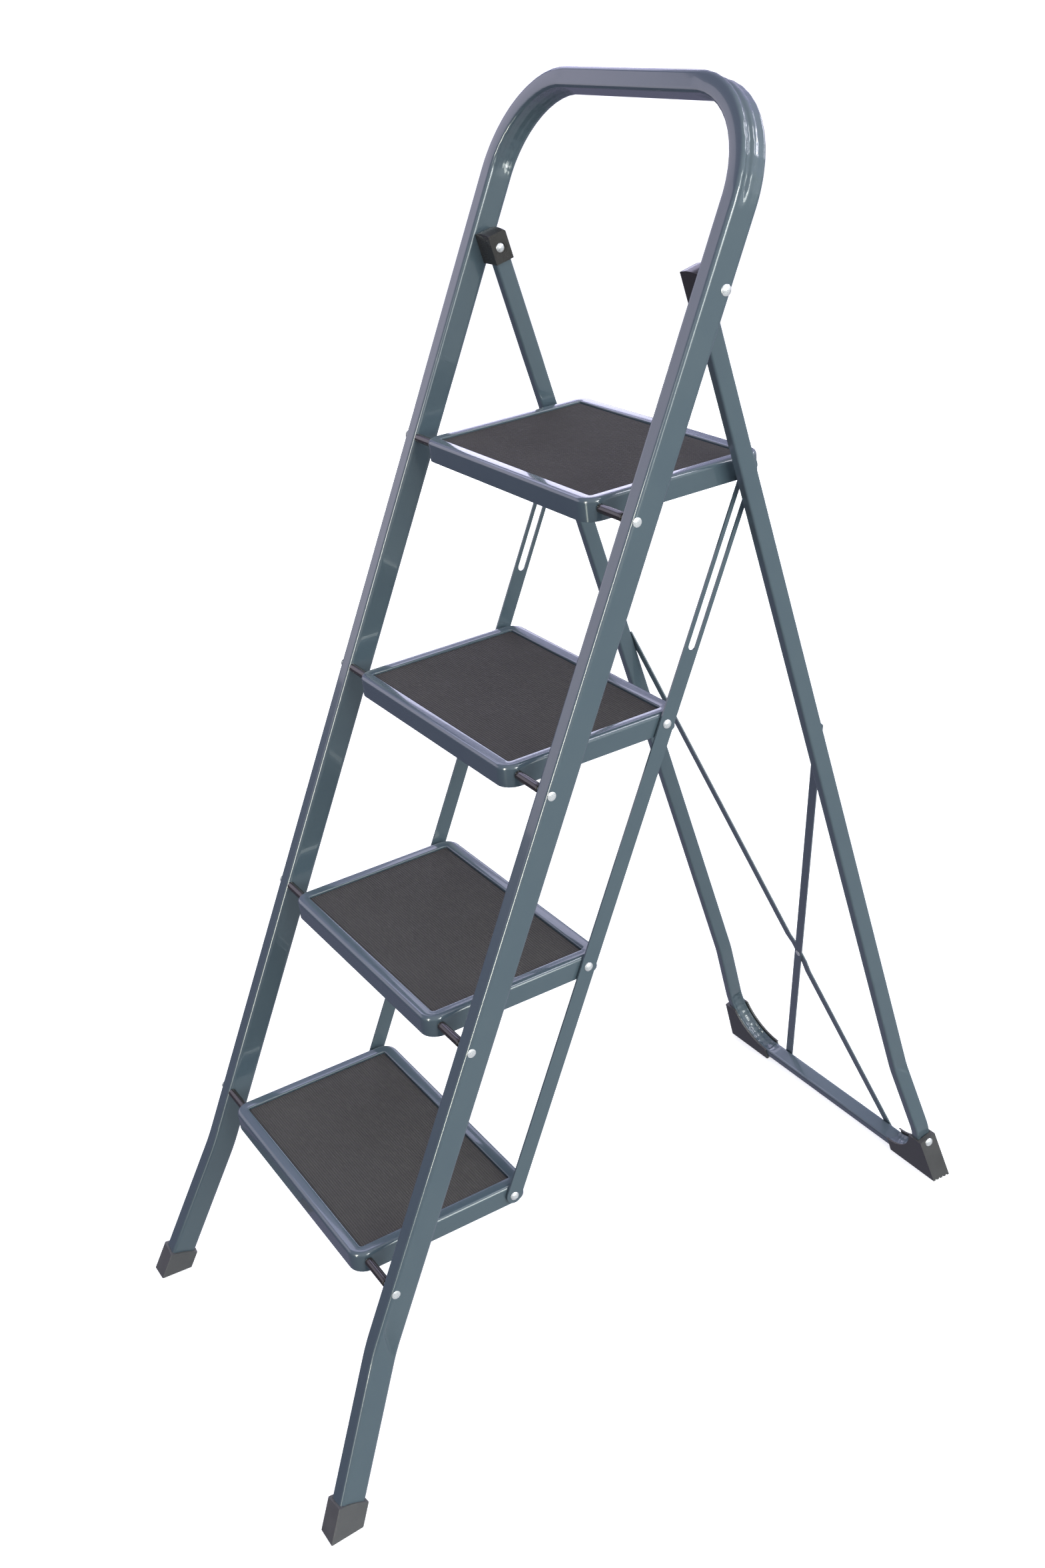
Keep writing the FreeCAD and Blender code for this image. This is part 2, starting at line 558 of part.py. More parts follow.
# ---------------------------------------------------------------- corner shoes
def corner_shoe(side):
    tag = "right" if side > 0 else "left"
    body = new_body("shoe_" + tag)
    sk = new_sketch(body, "XZ_Plane", "shoe_%s_face" % tag)
    lip, wall, reach = D("shoe_lip"), D("shoe_side"), D("shoe_reach")
    top = -D("shoe_top")
    # outer line of the leg side: parallel to the flared leg
    off_out = (lw + wall) / qcos(flare)
    off_in = (lw + lip) / qcos(flare)

    def leg_line(z, off):
        return kx + (-z - D("leg_kink")) * qtan(flare) + off

    z_low = -D("bar_drop") - 40
    x_out_top, x_out_low = leg_line(top, off_out), leg_line(z_low, off_out)
    x_in_top = leg_line(top, -off_in)
    z_lip = -D("bar_drop") + lw + lip
    # concave upper edge, concentric with the tube's bend
    R2 = D("corner_radius") - lw - lip
    a_leg = (p_leg[0] - (lw + lip) * qcos(flare), p_leg[1] - (lw + lip) * qsin(flare))
    a_bar = (p_bar[0], z_lip)
    m = side
    if a_leg[1].val < top.val - 0.5:
        raise RuntimeError("shoe top is above the bend: adjust")
    # the bend starts above the shoe's top, so the arc is cut at the top line
    ccx, ccz = p_bar[0], -D("bar_drop") + D("corner_radius")
    dz = ccz - top
    x_arc = ccx + Q("sqrt(%s)" % ((R2 * R2 - dz * dz).text), math.sqrt(R2.val ** 2 - dz.val ** 2))
    pts = [(m * reach, z_low), (m * x_out_low, z_low), (m * x_out_top, top), (m * x_arc, top, R2, -m),
           (m * p_bar[0], z_lip), (m * reach, z_lip)]
    path(sk, pts)
    full = ld * 2 + D("shoe_wall") * 2 + D("shoe_play") * 2
    pad(body, sk, full, "shoe_%s_block" % tag)
    # channel that takes the tube: everything inside the tube's outer face
    ch = new_sketch(body, "XZ_Plane", "shoe_%s_channel" % tag)
    R3 = D("corner_radius") + lw + D("shoe_play")
    g = lw + D("shoe_play")
    b_leg = (p_leg[0] + g * qcos(flare), p_leg[1] + g * qsin(flare))
    b_bar = (p_bar[0], -D("bar_drop") - g)
    x_up = leg_line(top + 60, g / qcos(flare))
    path(ch, [(m * 60, b_bar[1]), (m * b_bar[0], b_bar[1], R3, m), (m * b_leg[0], b_leg[1]),
              (m * x_up, top + 60), (m * 60, top + 60)])
    cut(body, ch, ld * 2 + D("shoe_play") * 2, "shoe_%s_trough" % tag)
    # rivet hole through the outer wall
    rv = new_sketch(body, "YZ_Plane", "shoe_%s_hole" % tag)
    ring(rv, 0, -D("shoe_rivet_up") + (lw + wall / 2) * qsin(flare), 2.65)
    cut(body, rv, 0, "shoe_%s_drill" % tag, through=True)
    # sole level with the floor, with four shallow grooves across it
    fl = new_sketch(body, "YZ_Plane", "shoe_%s_sole" % tag)
    a = D("leg_angle")
    h0 = Q.of(PIVOT.z)

    def floor_pt(gy, gz):
        """Global offset from the pivot (y, z), seen in the leg frame."""
        return (Q.of(gy) * qcos(a) + Q.of(gz) * qsin(a), Q.of(gz) * qcos(a) - Q.of(gy) * qsin(a))

    mid = h0 * qtan(a)
    gp, gw, gd = D("sole_groove_pitch"), D("sole_groove"), D("sole_groove_deep")
    pts = [floor_pt(mid - 60, -h0)]
    for k in range(4):
        c = mid + gp * (k - 1.5)
        pts += [floor_pt(c - gw / 2, -h0), floor_pt(c - gw / 2, gd - h0), floor_pt(c + gw / 2, gd - h0),
                floor_pt(c + gw / 2, -h0)]
    pts += [floor_pt(mid + 60, -h0), floor_pt(mid + 60, -h0 - 70), floor_pt(mid - 60, -h0 - 70)]
    path(fl, pts)
    cut(body, fl, 0, "shoe_%s_tread" % tag, through=True)
    keep(body, "corner_shoe_" + tag, PL_LEG)


corner_shoe(1)
corner_shoe(-1)

# ---------------------------------------------------------------- rear frame rivets, studs and braces
fl_rot = NUM["leg_splay"]
shoe_rivets = []
for side in (1, -1):
    seat = lw + D("shoe_side")
    ox, orh, orad, ocrown = dome(seat + D("shoe_play"), 4.9, 2.4, 1)
    pts = [(lw - 3.0, 0), (ocrown, 0, orad, 1), (ox, orh), (ox, 2.2), (lw - 3.0, 2.2)]
    b = fastener("shoe_rivet_%s" % ("r" if side > 0 else "l"), pts, None, None)
    turnr = FreeCAD.Rotation(V(0, 1, 0), -fl_rot if side > 0 else 180 + fl_rot)
    z = -NUM["shoe_rivet_up"]
    x = leg_x(NUM["shoe_rivet_up"])
    b.Placement = PL_LEG.multiply(FreeCAD.Placement(V(side * x, 0, z), turnr))
    shoe_rivets.append(b)
group("shoe_rivets", shoe_rivets)

studs = []
for side in (1, -1):
    down = NUM["pin_along"]
    lx = leg_x(down)
    bar_out = D("bar_inner") + D("bar_thick") + D("pin_clear")
    lxq = D("leg_centre") - D("pin_along") * qtan(taper)
    # flange on the inner wall's face, shank through that wall, clinched inside the tube
    inner = lxq - lw - 0.12
    clinch = lxq - lw + D("leg_wall") + 0.12
    shank, flange, tip = D("pin_shank") / 2, 6.0, clinch + 1.2
    if side > 0:
        pts = [(bar_out, 0), (tip, 0), (tip, 3.6), (clinch, 3.6), (clinch, shank), (inner, shank), (inner, flange),
               (inner - 2.2, flange), (inner - 2.2, D("pin_dia") / 2), (bar_out, D("pin_dia") / 2)]
    else:
        pts = [(-tip, 0), (-bar_out, 0), (-bar_out, D("pin_dia") / 2), (-(inner - 2.2), D("pin_dia") / 2),
               (-(inner - 2.2), flange), (-inner, flange), (-inner, shank), (-clinch, shank), (-clinch, 3.6),
               (-tip, 3.6)]
    b = fastener("slot_stud_%s" % ("r" if side > 0 else "l"), pts, None, None)
    b.Placement = PL_LEG.multiply(FreeCAD.Placement(V(0, 0, -down), FreeCAD.Rotation()))
    studs.append(b)
group("slot_pins", studs)

# Braces: each bar's own frame has its local x along the bar, from the cross bar up to the opposite leg,
# local y rearwards. The second bar steps over the first at the middle.
bx0, bz0 = NUM["brace_low_x"], -NUM["brace_low_z"]
bx1, bz1 = NUM["brace_high_x"], -NUM["brace_high_z"]
b_len = math.hypot(bx1 + bx0, bz1 - bz0)
b_ang = math.degrees(math.atan2(bz1 - bz0, bx1 + bx0))
b_mid = bx0 / (bx0 + bx1) * b_len            # distance to the crossing
qlen = Q("sqrt((dims.brace_low_x + dims.brace_high_x)^2 + (dims.brace_low_z - dims.brace_high_z)^2)", b_len)
qmid = qlen * D("brace_low_x") / (D("brace_low_x") + D("brace_high_x"))
tk = D("brace_thick")
face = ld + 0.05
lap = D("brace_lap")


def brace(name, label, side, stepped):
    body = new_body(name)
    sk = new_sketch(body, "XY_Plane", name + "_edge")
    if stepped:
        st, rise = D("brace_step"), tk + 0.05
        path(sk, [(-6, face), (qmid - st, face), (qmid - st / 2, face + rise), (qmid + st / 2, face + rise),
                  (qmid + st, face), (qlen + lap, face), (qlen + lap, face + tk), (qmid + st, face + tk),
                  (qmid + st / 2, face + rise + tk), (qmid - st / 2, face + rise + tk), (qmid - st, face + tk),
                  (-6, face + tk)])
    else:
        path(sk, [(-6, face), (qlen + lap, face), (qlen + lap, face + tk), (-6, face + tk)])
    pad(body, sk, D("brace_width"), name + "_bar")
    hs = new_sketch(body, "XZ_Plane", name + "_holes")
    for c in (Q.of(0), qmid, qlen):
        ring(hs, c, 0, 2.1)
    cut(body, hs, 0, name + "_drill", through=True)
    rot = FreeCAD.Rotation(V(0, 1, 0), -b_ang) if side > 0 else FreeCAD.Rotation(V(0, 1, 0), -(180 - b_ang))
    place = PL_LEG.multiply(FreeCAD.Placement(V(-side * bx0, 0, bz0), rot))
    keep(body, label, place)


brace("brace_a", "cross_brace_flat", 1, False)
brace("brace_b", "cross_brace_joggled", -1, True)

# rivets of the braces: local x along the axis, turned to stand on the rear faces
TO_BACK = FreeCAD.Rotation(V(0, 0, 1), 90)
ox, orh, orad, ocrown = dome(face + tk, D("brace_rivet_head") / 2, D("brace_rivet_high"), 1)
back_in = ld - D("leg_wall") - 0.05         # just inside the tube's rear wall
ends = []
for i, (x, z) in enumerate(((bx0, bz0), (-bx0, bz0), (bx1, bz1), (-bx1, bz1))):
    pts = [(back_in - 1.2, 0), (ocrown, 0, orad, 1), (ox, orh), (ox, 2.0), (back_in, 2.0), (back_in, 2.35),
           (back_in - 1.2, 2.35)]
    b = fastener("brace_end_rivet_%d" % (i + 1), pts, None, None)
    b.Placement = PL_LEG.multiply(FreeCAD.Placement(V(x, 0, z), TO_BACK))
    ends.append(b)
group("brace_end_rivets", ends)
cz_mid = bz0 + (bz1 - bz0) * bx0 / (bx0 + bx1)
hx, hr, hrad, hcrown = dome(face + tk + 0.05 + tk, 3.8, 1.2, 1)
kx_, kr, krad, kcrown = dome(face, 3.8, 1.4, -1)
pts = [(kcrown, 0), (hcrown, 0, hrad, 1), (hx, hr), (hx, 2.0), (kx_, 2.0), (kx_, kr, krad, 1)]
fastener("brace_mid_rivet", pts, "brace_center_rivet",
         PL_LEG.multiply(FreeCAD.Placement(V(0, 0, cz_mid), TO_BACK)))


# ================================================================ STEPS
def tray(i):
    body = new_body("tray%d" % i)
    half, f_, b_, rc = D("tray_half"), D("tray_front"), D("tray_back"), D("tray_corner")
    sk = new_sketch(body, "XY_Plane", "tray%d_plan" % i)
    round_rect(sk, -half, -f_, half, b_, rc)
    p = body.newObject("PartDesign::Pad", "tray%d_press" % i)
    p.Profile = sk
    p.SideType = "Two sides"
    p.Type2 = "Length"
    p.Length, p.Length2 = NUM["tray_top"], NUM["tray_bottom"]
    p.setExpression("Length", "dims.tray_top")
    p.setExpression("Length2", "dims.tray_bottom")
    doc.recompute()
    # rounded top edge
    edges = []
    for n, e in enumerate(p.Shape.Edges, start=1):
        bb = e.BoundBox
        if abs(bb.ZMin - NUM["tray_top"]) < 1e-3 and abs(bb.ZMax - NUM["tray_top"]) < 1e-3:
            edges.append("Edge%d" % n)
    f = body.newObject("PartDesign::Fillet", "tray%d_edge" % i)
    f.Base = (p, edges)
    f.Radius = NUM["tray_edge"]
    f.setExpression("Radius", "dims.tray_edge")
    doc.recompute()
    s_ = D("tray_sheet")
    # recess for the mat
    rec = new_sketch(body, "XY_Plane", "tray%d_recess" % i)
    round_rect(rec, -D("recess_half"), -D("recess_front"), D("recess_half"), D("recess_back"), D("recess_corner"))
    # hollow underside up to the deck sheet, then up inside the raised rim
    und = new_sketch(body, "XY_Plane", "tray%d_under" % i)
    round_rect(und, -half + s_, -f_ + s_, half - s_, b_ - s_, rc - s_)
    before = body.Shape.Volume
    k = body.newObject("PartDesign::Pocket", "tray%d_hollow" % i)
    k.Profile = und
    k.SideType = "Two sides"
    k.Type2 = "Length"
    k.Length2, k.Length = NUM["deck_top"] - NUM["tray_sheet"], NUM["tray_bottom"] + 5
    k.setExpression("Length", "dims.tray_bottom + 5")
    k.setExpression("Length2", "dims.deck_top - dims.tray_sheet")
    doc.recompute()
    if not body.Shape.Volume < before - 1000:
        raise RuntimeError("tray hollow cut nothing")
    rim = new_sketch(body, "XY_Plane", "tray%d_rim" % i)
    q = s_ + 0.3
    round_rect(rim, -half + q, -f_ + q, half - q, b_ - q, rc - q)
    round_rect(rim, -D("recess_half") - s_, -D("recess_front") - s_, D("recess_half") + s_,
               D("recess_back") + s_, D("recess_corner") + s_)
    cut(body, rim, D("tray_top") - s_ - 0.2, "tray%d_rim_hollow" % i, side="One side", back=True)
    top = cut(body, rec, 30, "tray%d_recess_cut" % i, side="One side", back=True)
    # the recess starts at the deck's top face
    rec.AttachmentOffset = FreeCAD.Placement(V(0, 0, NUM["deck_top"]), FreeCAD.Rotation())
    rec.setExpression("AttachmentOffset.Base.z", "dims.deck_top")
    doc.recompute()
    # axle holes and link rivet holes through both side flanges
    hs = new_sketch(body, "YZ_Plane", "tray%d_holes" % i)
    ring(hs, 0, 0, D("axle_dia") / 2 + D("fit"))
    ring(hs, D("link_reach"), D("link_rise"), D("link_rivet_dia") / 2 + D("fit"))
    cut(body, hs, 0, "tray%d_drill" % i, through=True)
    keep(body, "step_tray_%d" % i, FreeCAD.Placement(AXLES[i - 1], FreeCAD.Rotation()))


def mat(i):
    body = new_body("mat%d" % i)
    sk = new_sketch(body, "XY_Plane", "mat%d_plan" % i)
    e = D("mat_play")
    round_rect(sk, -D("recess_half") + e, -D("recess_front") + e, D("recess_half") - e, D("recess_back") - e,
               D("recess_corner") - e)
    sk.AttachmentOffset = FreeCAD.Placement(V(0, 0, NUM["deck_top"]), FreeCAD.Rotation())
    sk.setExpression("AttachmentOffset.Base.z", "dims.deck_top")
    pad(body, sk, D("mat_thick"), "mat%d_slab" % i, side="One side")
    keep(body, "tread_mat_%d" % i, FreeCAD.Placement(AXLES[i - 1], FreeCAD.Rotation()))


for i in range(1, 5):
    tray(i)
    mat(i)


# ================================================================ LINK BARS (stile-parallel frame at link pivot 1)
def link_bar(side):
    tag = "right" if side > 0 else "left"
    body = new_body("link_" + tag)
    sk = new_sketch(body, "YZ_Plane", "link_%s_outline" % tag)
    w = D("bar_width") / 2
    top = D("pitch") * 3
    path(sk, [(w, 0), (w, top, w, 1), (-w, top), (-w, 0, w, 1)])
    a, b = D("slot_low"), D("slot_high")
    sw = D("slot_width") / 2
    path(sk, [(sw, a), (sw, b, sw, 1), (-sw, b), (-sw, a, sw, 1)])
    pad(body, sk, D("bar_thick"), "link_%s_strip" % tag, side="One side", back=side < 0)
    hs = new_sketch(body, "YZ_Plane", "link_%s_holes" % tag)
    for i in range(4):
        ring(hs, 0, D("pitch") * i, D("link_rivet_dia") / 2 + 0.02)
    cut(body, hs, 0, "link_%s_drill" % tag, through=True)
    pl = FreeCAD.Placement(LINKS[0] + V(side * NUM["bar_inner"], 0, 0), ROT_STILE)
    keep(body, "link_bar_" + tag, pl)


link_bar(1)
link_bar(-1)

rivets, washers = [], []
for i in range(4):
    for side in (1, -1):
        tag = "%d%s" % (i + 1, "r" if side > 0 else "l")
        r = D("link_rivet_dia") / 2
        ox, orh, orad, ocrown = dome(D("bar_inner") + D("bar_thick"), D("link_head_dia") / 2, D("link_head_high"), 1)
        ix, irh, irad, icrown = dome(D("tray_half") - D("tray_sheet") - 0.3, 4.0, 1.6, -1)
        if side > 0:
            pts = [(icrown, 0), (ocrown, 0, orad, 1), (ox, orh), (ox, r), (ix, r), (ix, irh, irad, 1)]
        else:
            pts = [(-ocrown, 0), (-icrown, 0, irad, 1), (-ix, irh), (-ix, r), (-ox, r), (-ox, orh, orad, 1)]
        b = fastener("link_rivet" + tag, pts, None, None)
        b.Placement = FreeCAD.Placement(LINKS[i], FreeCAD.Rotation())
        rivets.append(b)
        a0, a1 = D("tray_half") + 0.3, D("bar_inner")
        wpts = [(side * a0, r + 0.05), (side * a1, r + 0.05), (side * a1, D("washer_dia") / 2),
                (side * a0, D("washer_dia") / 2)]
        wb = fastener("link_washer" + tag, wpts, None, None)
        wb.Placement = FreeCAD.Placement(LINKS[i], FreeCAD.Rotation())
        washers.append(wb)
group("link_rivets", rivets)
group("link_washers", washers)

# ================================================================ checks and export
doc.recompute()
bad = []
for o in doc.Objects:
    st = [s for s in o.State if "Invalid" in s or "Error" in s]
    if st:
        bad.append((o.Name, st))
for o in SUBPARTS:
    if o.Shape.isNull() or not o.Shape.isValid() or not o.Shape.Solids:
        bad.append((o.Label, "shape"))
if bad:
    raise RuntimeError("failed objects: %r" % bad)

os.makedirs("parts", exist_ok=True)
box = FreeCAD.BoundBox()
for o in SUBPARTS:
    o.Shape.exportStep("parts/%s.step" % o.Label)
    box.add(o.Shape.BoundBox)
    print("%-24s solids %d  volume %.1f" % (o.Label, len(o.Shape.Solids), o.Shape.Volume))
print("sub-parts", len(SUBPARTS))
print("box x %.2f..%.2f  y %.2f..%.2f  z %.2f..%.2f" % (box.XMin, box.XMax, box.YMin, box.YMax, box.ZMin, box.ZMax))
print("y centre", (box.YMin + box.YMax) / 2)
print("pivot", PIVOT, "axles", AXLES, "links", LINKS[0])
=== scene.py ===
import json
import math
import bpy
import bmesh
from mathutils import Matrix, Vector


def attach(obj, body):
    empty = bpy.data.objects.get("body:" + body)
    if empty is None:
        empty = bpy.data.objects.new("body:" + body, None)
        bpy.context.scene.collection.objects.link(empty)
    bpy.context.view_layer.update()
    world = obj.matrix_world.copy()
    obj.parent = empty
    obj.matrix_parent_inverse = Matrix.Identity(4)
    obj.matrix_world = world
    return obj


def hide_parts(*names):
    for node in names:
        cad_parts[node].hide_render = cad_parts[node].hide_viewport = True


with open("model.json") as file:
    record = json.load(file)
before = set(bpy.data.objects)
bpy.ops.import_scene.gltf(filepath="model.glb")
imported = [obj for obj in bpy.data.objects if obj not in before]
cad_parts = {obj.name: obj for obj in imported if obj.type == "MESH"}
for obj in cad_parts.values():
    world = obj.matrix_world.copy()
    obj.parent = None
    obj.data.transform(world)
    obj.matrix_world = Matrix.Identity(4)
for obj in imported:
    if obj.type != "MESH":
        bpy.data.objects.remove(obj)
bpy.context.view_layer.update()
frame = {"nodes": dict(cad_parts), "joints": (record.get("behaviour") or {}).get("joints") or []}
NODES = frame["nodes"]
JOINT = {j["name"]: j for j in frame["joints"]}
MM = 0.001

# ------------------------------------------------------------------ working frames (millimetres in, metres out)
STILE = math.radians(62.93)
LEAN = math.radians(12.6)
T = (math.cos(STILE), math.sin(STILE))            # along the stiles (y, z)
N = (math.sin(STILE), -math.cos(STILE))           # square to the stiles, rearwards
A = [Vector(JOINT["step_%d_fold" % i]["pos_m"]) / MM for i in (1, 2, 3, 4)]
P = Vector(JOINT["rear_frame_fold"]["pos_m"]) / MM
B = [a + Vector((0, 161.4, -1.2)) for a in A]


def stile(x, m, s):
    """Across, square to the stile, along the stile -> row frame, metres."""
    return Vector((x, A[0].y + s * T[0] + m * N[0], A[0].z + s * T[1] + m * N[1])) * MM


def leg(x, b, z):
    """Across, square to the rear leg, up the rear leg (0 at the pivot) -> row frame, metres."""
    return Vector((x, P.y + b * math.cos(LEAN) - z * math.sin(LEAN), P.z + b * math.sin(LEAN) + z * math.cos(LEAN))) * MM


# ------------------------------------------------------------------ mesh helpers
def mesh_object(name, verts, faces, material, smooth=True):
    me = bpy.data.meshes.new(name)
    me.from_pydata([tuple(v) for v in verts], [], faces)
    bm = bmesh.new()
    bm.from_mesh(me)
    bmesh.ops.remove_doubles(bm, verts=bm.verts, dist=1e-7)
    bmesh.ops.recalc_face_normals(bm, faces=bm.faces)
    bm.to_mesh(me)
    bm.free()
    me.validate()
    ob = bpy.data.objects.new(name, me)
    bpy.context.scene.collection.objects.link(ob)
    me.materials.append(material)
    if smooth:
        for p in me.polygons:
            p.use_smooth = True
    return ob


def bake(ob):
    """Apply the object's modifiers to its mesh."""
    bpy.context.view_layer.update()
    dg = bpy.context.evaluated_depsgraph_get()
    me = bpy.data.meshes.new_from_object(ob.evaluated_get(dg))
    ob.modifiers.clear()
    old = ob.data
    ob.data = me
    me.name = ob.name
    bpy.data.meshes.remove(old)
    return ob


def weighted(ob, angle=None):
    """Flat faces stay flat beside rounded edges."""
    if angle is not None:
        for e in sharp_edges(ob, angle):
            ob.data.edges[e].use_edge_sharp = True
    w = ob.modifiers.new("normals", "WEIGHTED_NORMAL")
    w.keep_sharp = True
    w.weight = 60
    return bake(ob)


def sharp_edges(ob, angle):
    bm = bmesh.new()
    bm.from_mesh(ob.data)
    out = [e.index for e in bm.edges if len(e.link_faces) == 2 and e.calc_face_angle(0) > math.radians(angle)]
    bm.free()
    return out


def soften(node, body, material, width, seg=3, angle=32):
    """A CAD plate or moulding with its edges rounded over."""
    src = NODES[node].data
    bm = bmesh.new()
    vs = [bm.verts.new(v.co) for v in src.vertices]
    for p in src.polygons:
        try:
            bm.faces.new([vs[i] for i in p.vertices])
        except ValueError:
            pass
    bmesh.ops.remove_doubles(bm, verts=bm.verts, dist=2e-6)
    bmesh.ops.dissolve_limit(bm, angle_limit=math.radians(0.6), verts=bm.verts, edges=bm.edges)
    bmesh.ops.recalc_face_normals(bm, faces=bm.faces)
    me = bpy.data.meshes.new(node + "_look")
    bm.to_mesh(me)
    bm.free()
    ob = bpy.data.objects.new(node + "_look", me)
    bpy.context.scene.collection.objects.link(ob)
    me.materials.append(material)
    b = ob.modifiers.new("edges", "BEVEL")
    b.width = width * MM
    b.segments = seg
    b.limit_method = "ANGLE"
    b.angle_limit = math.radians(angle)
    b.miter_outer = "MITER_ARC"
    b.use_clamp_overlap = True
    bake(ob)
    for p in ob.data.polygons:
        p.use_smooth = True
    weighted(ob, 50)
    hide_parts(node)
    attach(ob, body)
    return ob


def lathe(name, centre, profile, material, axis=(1, 0, 0), segs=40):
    """Turn (along, radius) millimetre pairs about an axis through centre (metres)."""
    ax = Vector(axis).normalized()
    u = ax.orthogonal().normalized()
    w = ax.cross(u)
    verts, faces, rings = [], [], []
    for a, r in profile:
        if r < 1e-6:
            rings.append([len(verts)])
            verts.append(centre + ax * a * MM)
        else:
            rings.append(list(range(len(verts), len(verts) + segs)))
            for k in range(segs):
                t = 2 * math.pi * k / segs
                verts.append(centre + (ax * a + (u * math.cos(t) + w * math.sin(t)) * r) * MM)
    for p, q in zip(rings, rings[1:]):
        for k in range(segs):
            j = (k + 1) % segs
            if len(p) == 1 and len(q) == 1:
                continue
            if len(p) == 1:
                faces.append((p[0], q[k], q[j]))
            elif len(q) == 1:
                faces.append((p[k], q[0], p[j]))
            else:
                faces.append((p[k], q[k], q[j], p[j]))
    return mesh_object(name, verts, faces, material)


def head(seat, r, high, sign, shank, rim=0.45, n=9):
    """A domed rivet head's outline from the shank out to the crown, on the side given by sign."""
    pts = [(seat, shank), (seat, r - 0.15), (seat + sign * 0.12, r), (seat + sign * rim, r)]
    R = (r * r + (high - rim) ** 2) / (2 * (high - rim))
    a0 = math.asin(min(1.0, r / R))
    for k in range(1, n + 1):
        a = a0 * (1 - k / n)
        pts.append((seat + sign * (rim + (high - rim) - R + R * math.cos(a)), R * math.sin(a)))
    pts[-1] = (seat + sign * high, 0.0)
    return pts


def join(name, obs):
    for o in bpy.context.selected_objects:
        o.select_set(False)
    for o in obs:
        o.select_set(True)
    bpy.context.view_layer.objects.active = obs[0]
    bpy.ops.object.join()
    ob = bpy.context.view_layer.objects.active
    ob.name = name
    ob.data.name = name
    ob.select_set(False)
    return ob


# ------------------------------------------------------------------ materials
def nodes_of(mat):
    mat.use_nodes = True
    nt = mat.node_tree
    nt.nodes.clear()
    out = nt.nodes.new("ShaderNodeOutputMaterial")
    bsdf = nt.nodes.new("ShaderNodeBsdfPrincipled")
    nt.links.new(bsdf.outputs[0], out.inputs[0])
    return nt, bsdf


def noise(nt, scale, detail=4.0, rough=0.55, vec=None, stretch=None):
    tc = nt.nodes.new("ShaderNodeTexCoord")
    mp = nt.nodes.new("ShaderNodeMapping")
    nt.links.new(tc.outputs["Object"], mp.inputs[0])
    if stretch:
        mp.inputs["Scale"].default_value = stretch
    n = nt.nodes.new("ShaderNodeTexNoise")
    n.inputs["Scale"].default_value = scale
    n.inputs["Detail"].default_value = detail
    n.inputs["Roughness"].default_value = rough
    nt.links.new(mp.outputs[0], n.inputs["Vector"])
    return n


def ramp(nt, src, stops):
    r = nt.nodes.new("ShaderNodeValToRGB")
    cr = r.color_ramp
    cr.elements[0].position, cr.elements[0].color = stops[0][0], stops[0][1]
    cr.elements[1].position, cr.elements[1].color = stops[-1][0], stops[-1][1]
    for pos, col in stops[1:-1]:
        e = cr.elements.new(pos)
        e.color = col
    nt.links.new(src, r.inputs[0])
    return r


def rng(nt, src, lo, hi, a, b):
    m = nt.nodes.new("ShaderNodeMapRange")
    m.inputs["From Min"].default_value, m.inputs["From Max"].default_value = lo, hi
    m.inputs["To Min"].default_value, m.inputs["To Max"].default_value = a, b
    nt.links.new(src, m.inputs["Value"])
    return m


def bump(nt, height, strength, dist, chain=None):
    b = nt.nodes.new("ShaderNodeBump")
    b.inputs["Strength"].default_value = strength
    b.inputs["Distance"].default_value = dist
    nt.links.new(height, b.inputs["Height"])
    if chain:
        nt.links.new(chain.outputs[0], b.inputs["Normal"])
    return b


def grey(v, tint=(1, 1, 1)):
    return (v * tint[0], v * tint[1], v * tint[2], 1)


def paint(name="enamel_blue_grey", shade=1.0):
    """Glossy stoved enamel on steel: faint orange peel and mottling, sparse fine handling marks."""
    mat = bpy.data.materials.new(name)
    nt, b = nodes_of(mat)
    mott = noise(nt, 22.0, 6.0, 0.6)
    base = ramp(nt, mott.outputs["Fac"], [
        (0.32, (0.081 * shade, 0.114 * shade, 0.138 * shade, 1)),
        (0.50, (0.084 * shade, 0.118 * shade, 0.141 * shade, 1)),
        (0.70, (0.088 * shade, 0.122 * shade, 0.144 * shade, 1))])
    scuff = noise(nt, 150.0, 7.0, 0.75, stretch=(1.0, 1.0, 0.3))
    mask = ramp(nt, scuff.outputs["Fac"], [(0.70, grey(0.0)), (0.80, grey(0.7))])
    mix = nt.nodes.new("ShaderNodeMix")
    mix.data_type = "RGBA"
    nt.links.new(mask.outputs[0], mix.inputs["Factor"])
    nt.links.new(base.outputs[0], mix.inputs["A"])
    lighter = ramp(nt, mott.outputs["Fac"], [(0.0, (0.10, 0.135, 0.158, 1)), (1.0, (0.112, 0.145, 0.168, 1))])
    nt.links.new(lighter.outputs[0], mix.inputs["B"])
    nt.links.new(mix.outputs["Result"], b.inputs["Base Color"])
    rough = rng(nt, scuff.outputs["Fac"], 0.35, 0.8, 0.15, 0.26)
    nt.links.new(rough.outputs[0], b.inputs["Roughness"])
    peel = noise(nt, 620.0, 2.0, 0.4)
    wave = noise(nt, 60.0, 2.0, 0.4)
    b1 = bump(nt, peel.outputs["Fac"], 0.035, 0.0003)
    b2 = bump(nt, wave.outputs["Fac"], 0.05, 0.0008, b1)
    nt.links.new(b2.outputs[0], b.inputs["Normal"])
    b.inputs["Metallic"].default_value = 0.0
    b.inputs["IOR"].default_value = 1.5
    b.inputs["Coat Weight"].default_value = 0.8
    b.inputs["Coat Roughness"].default_value = 0.04
    return mat


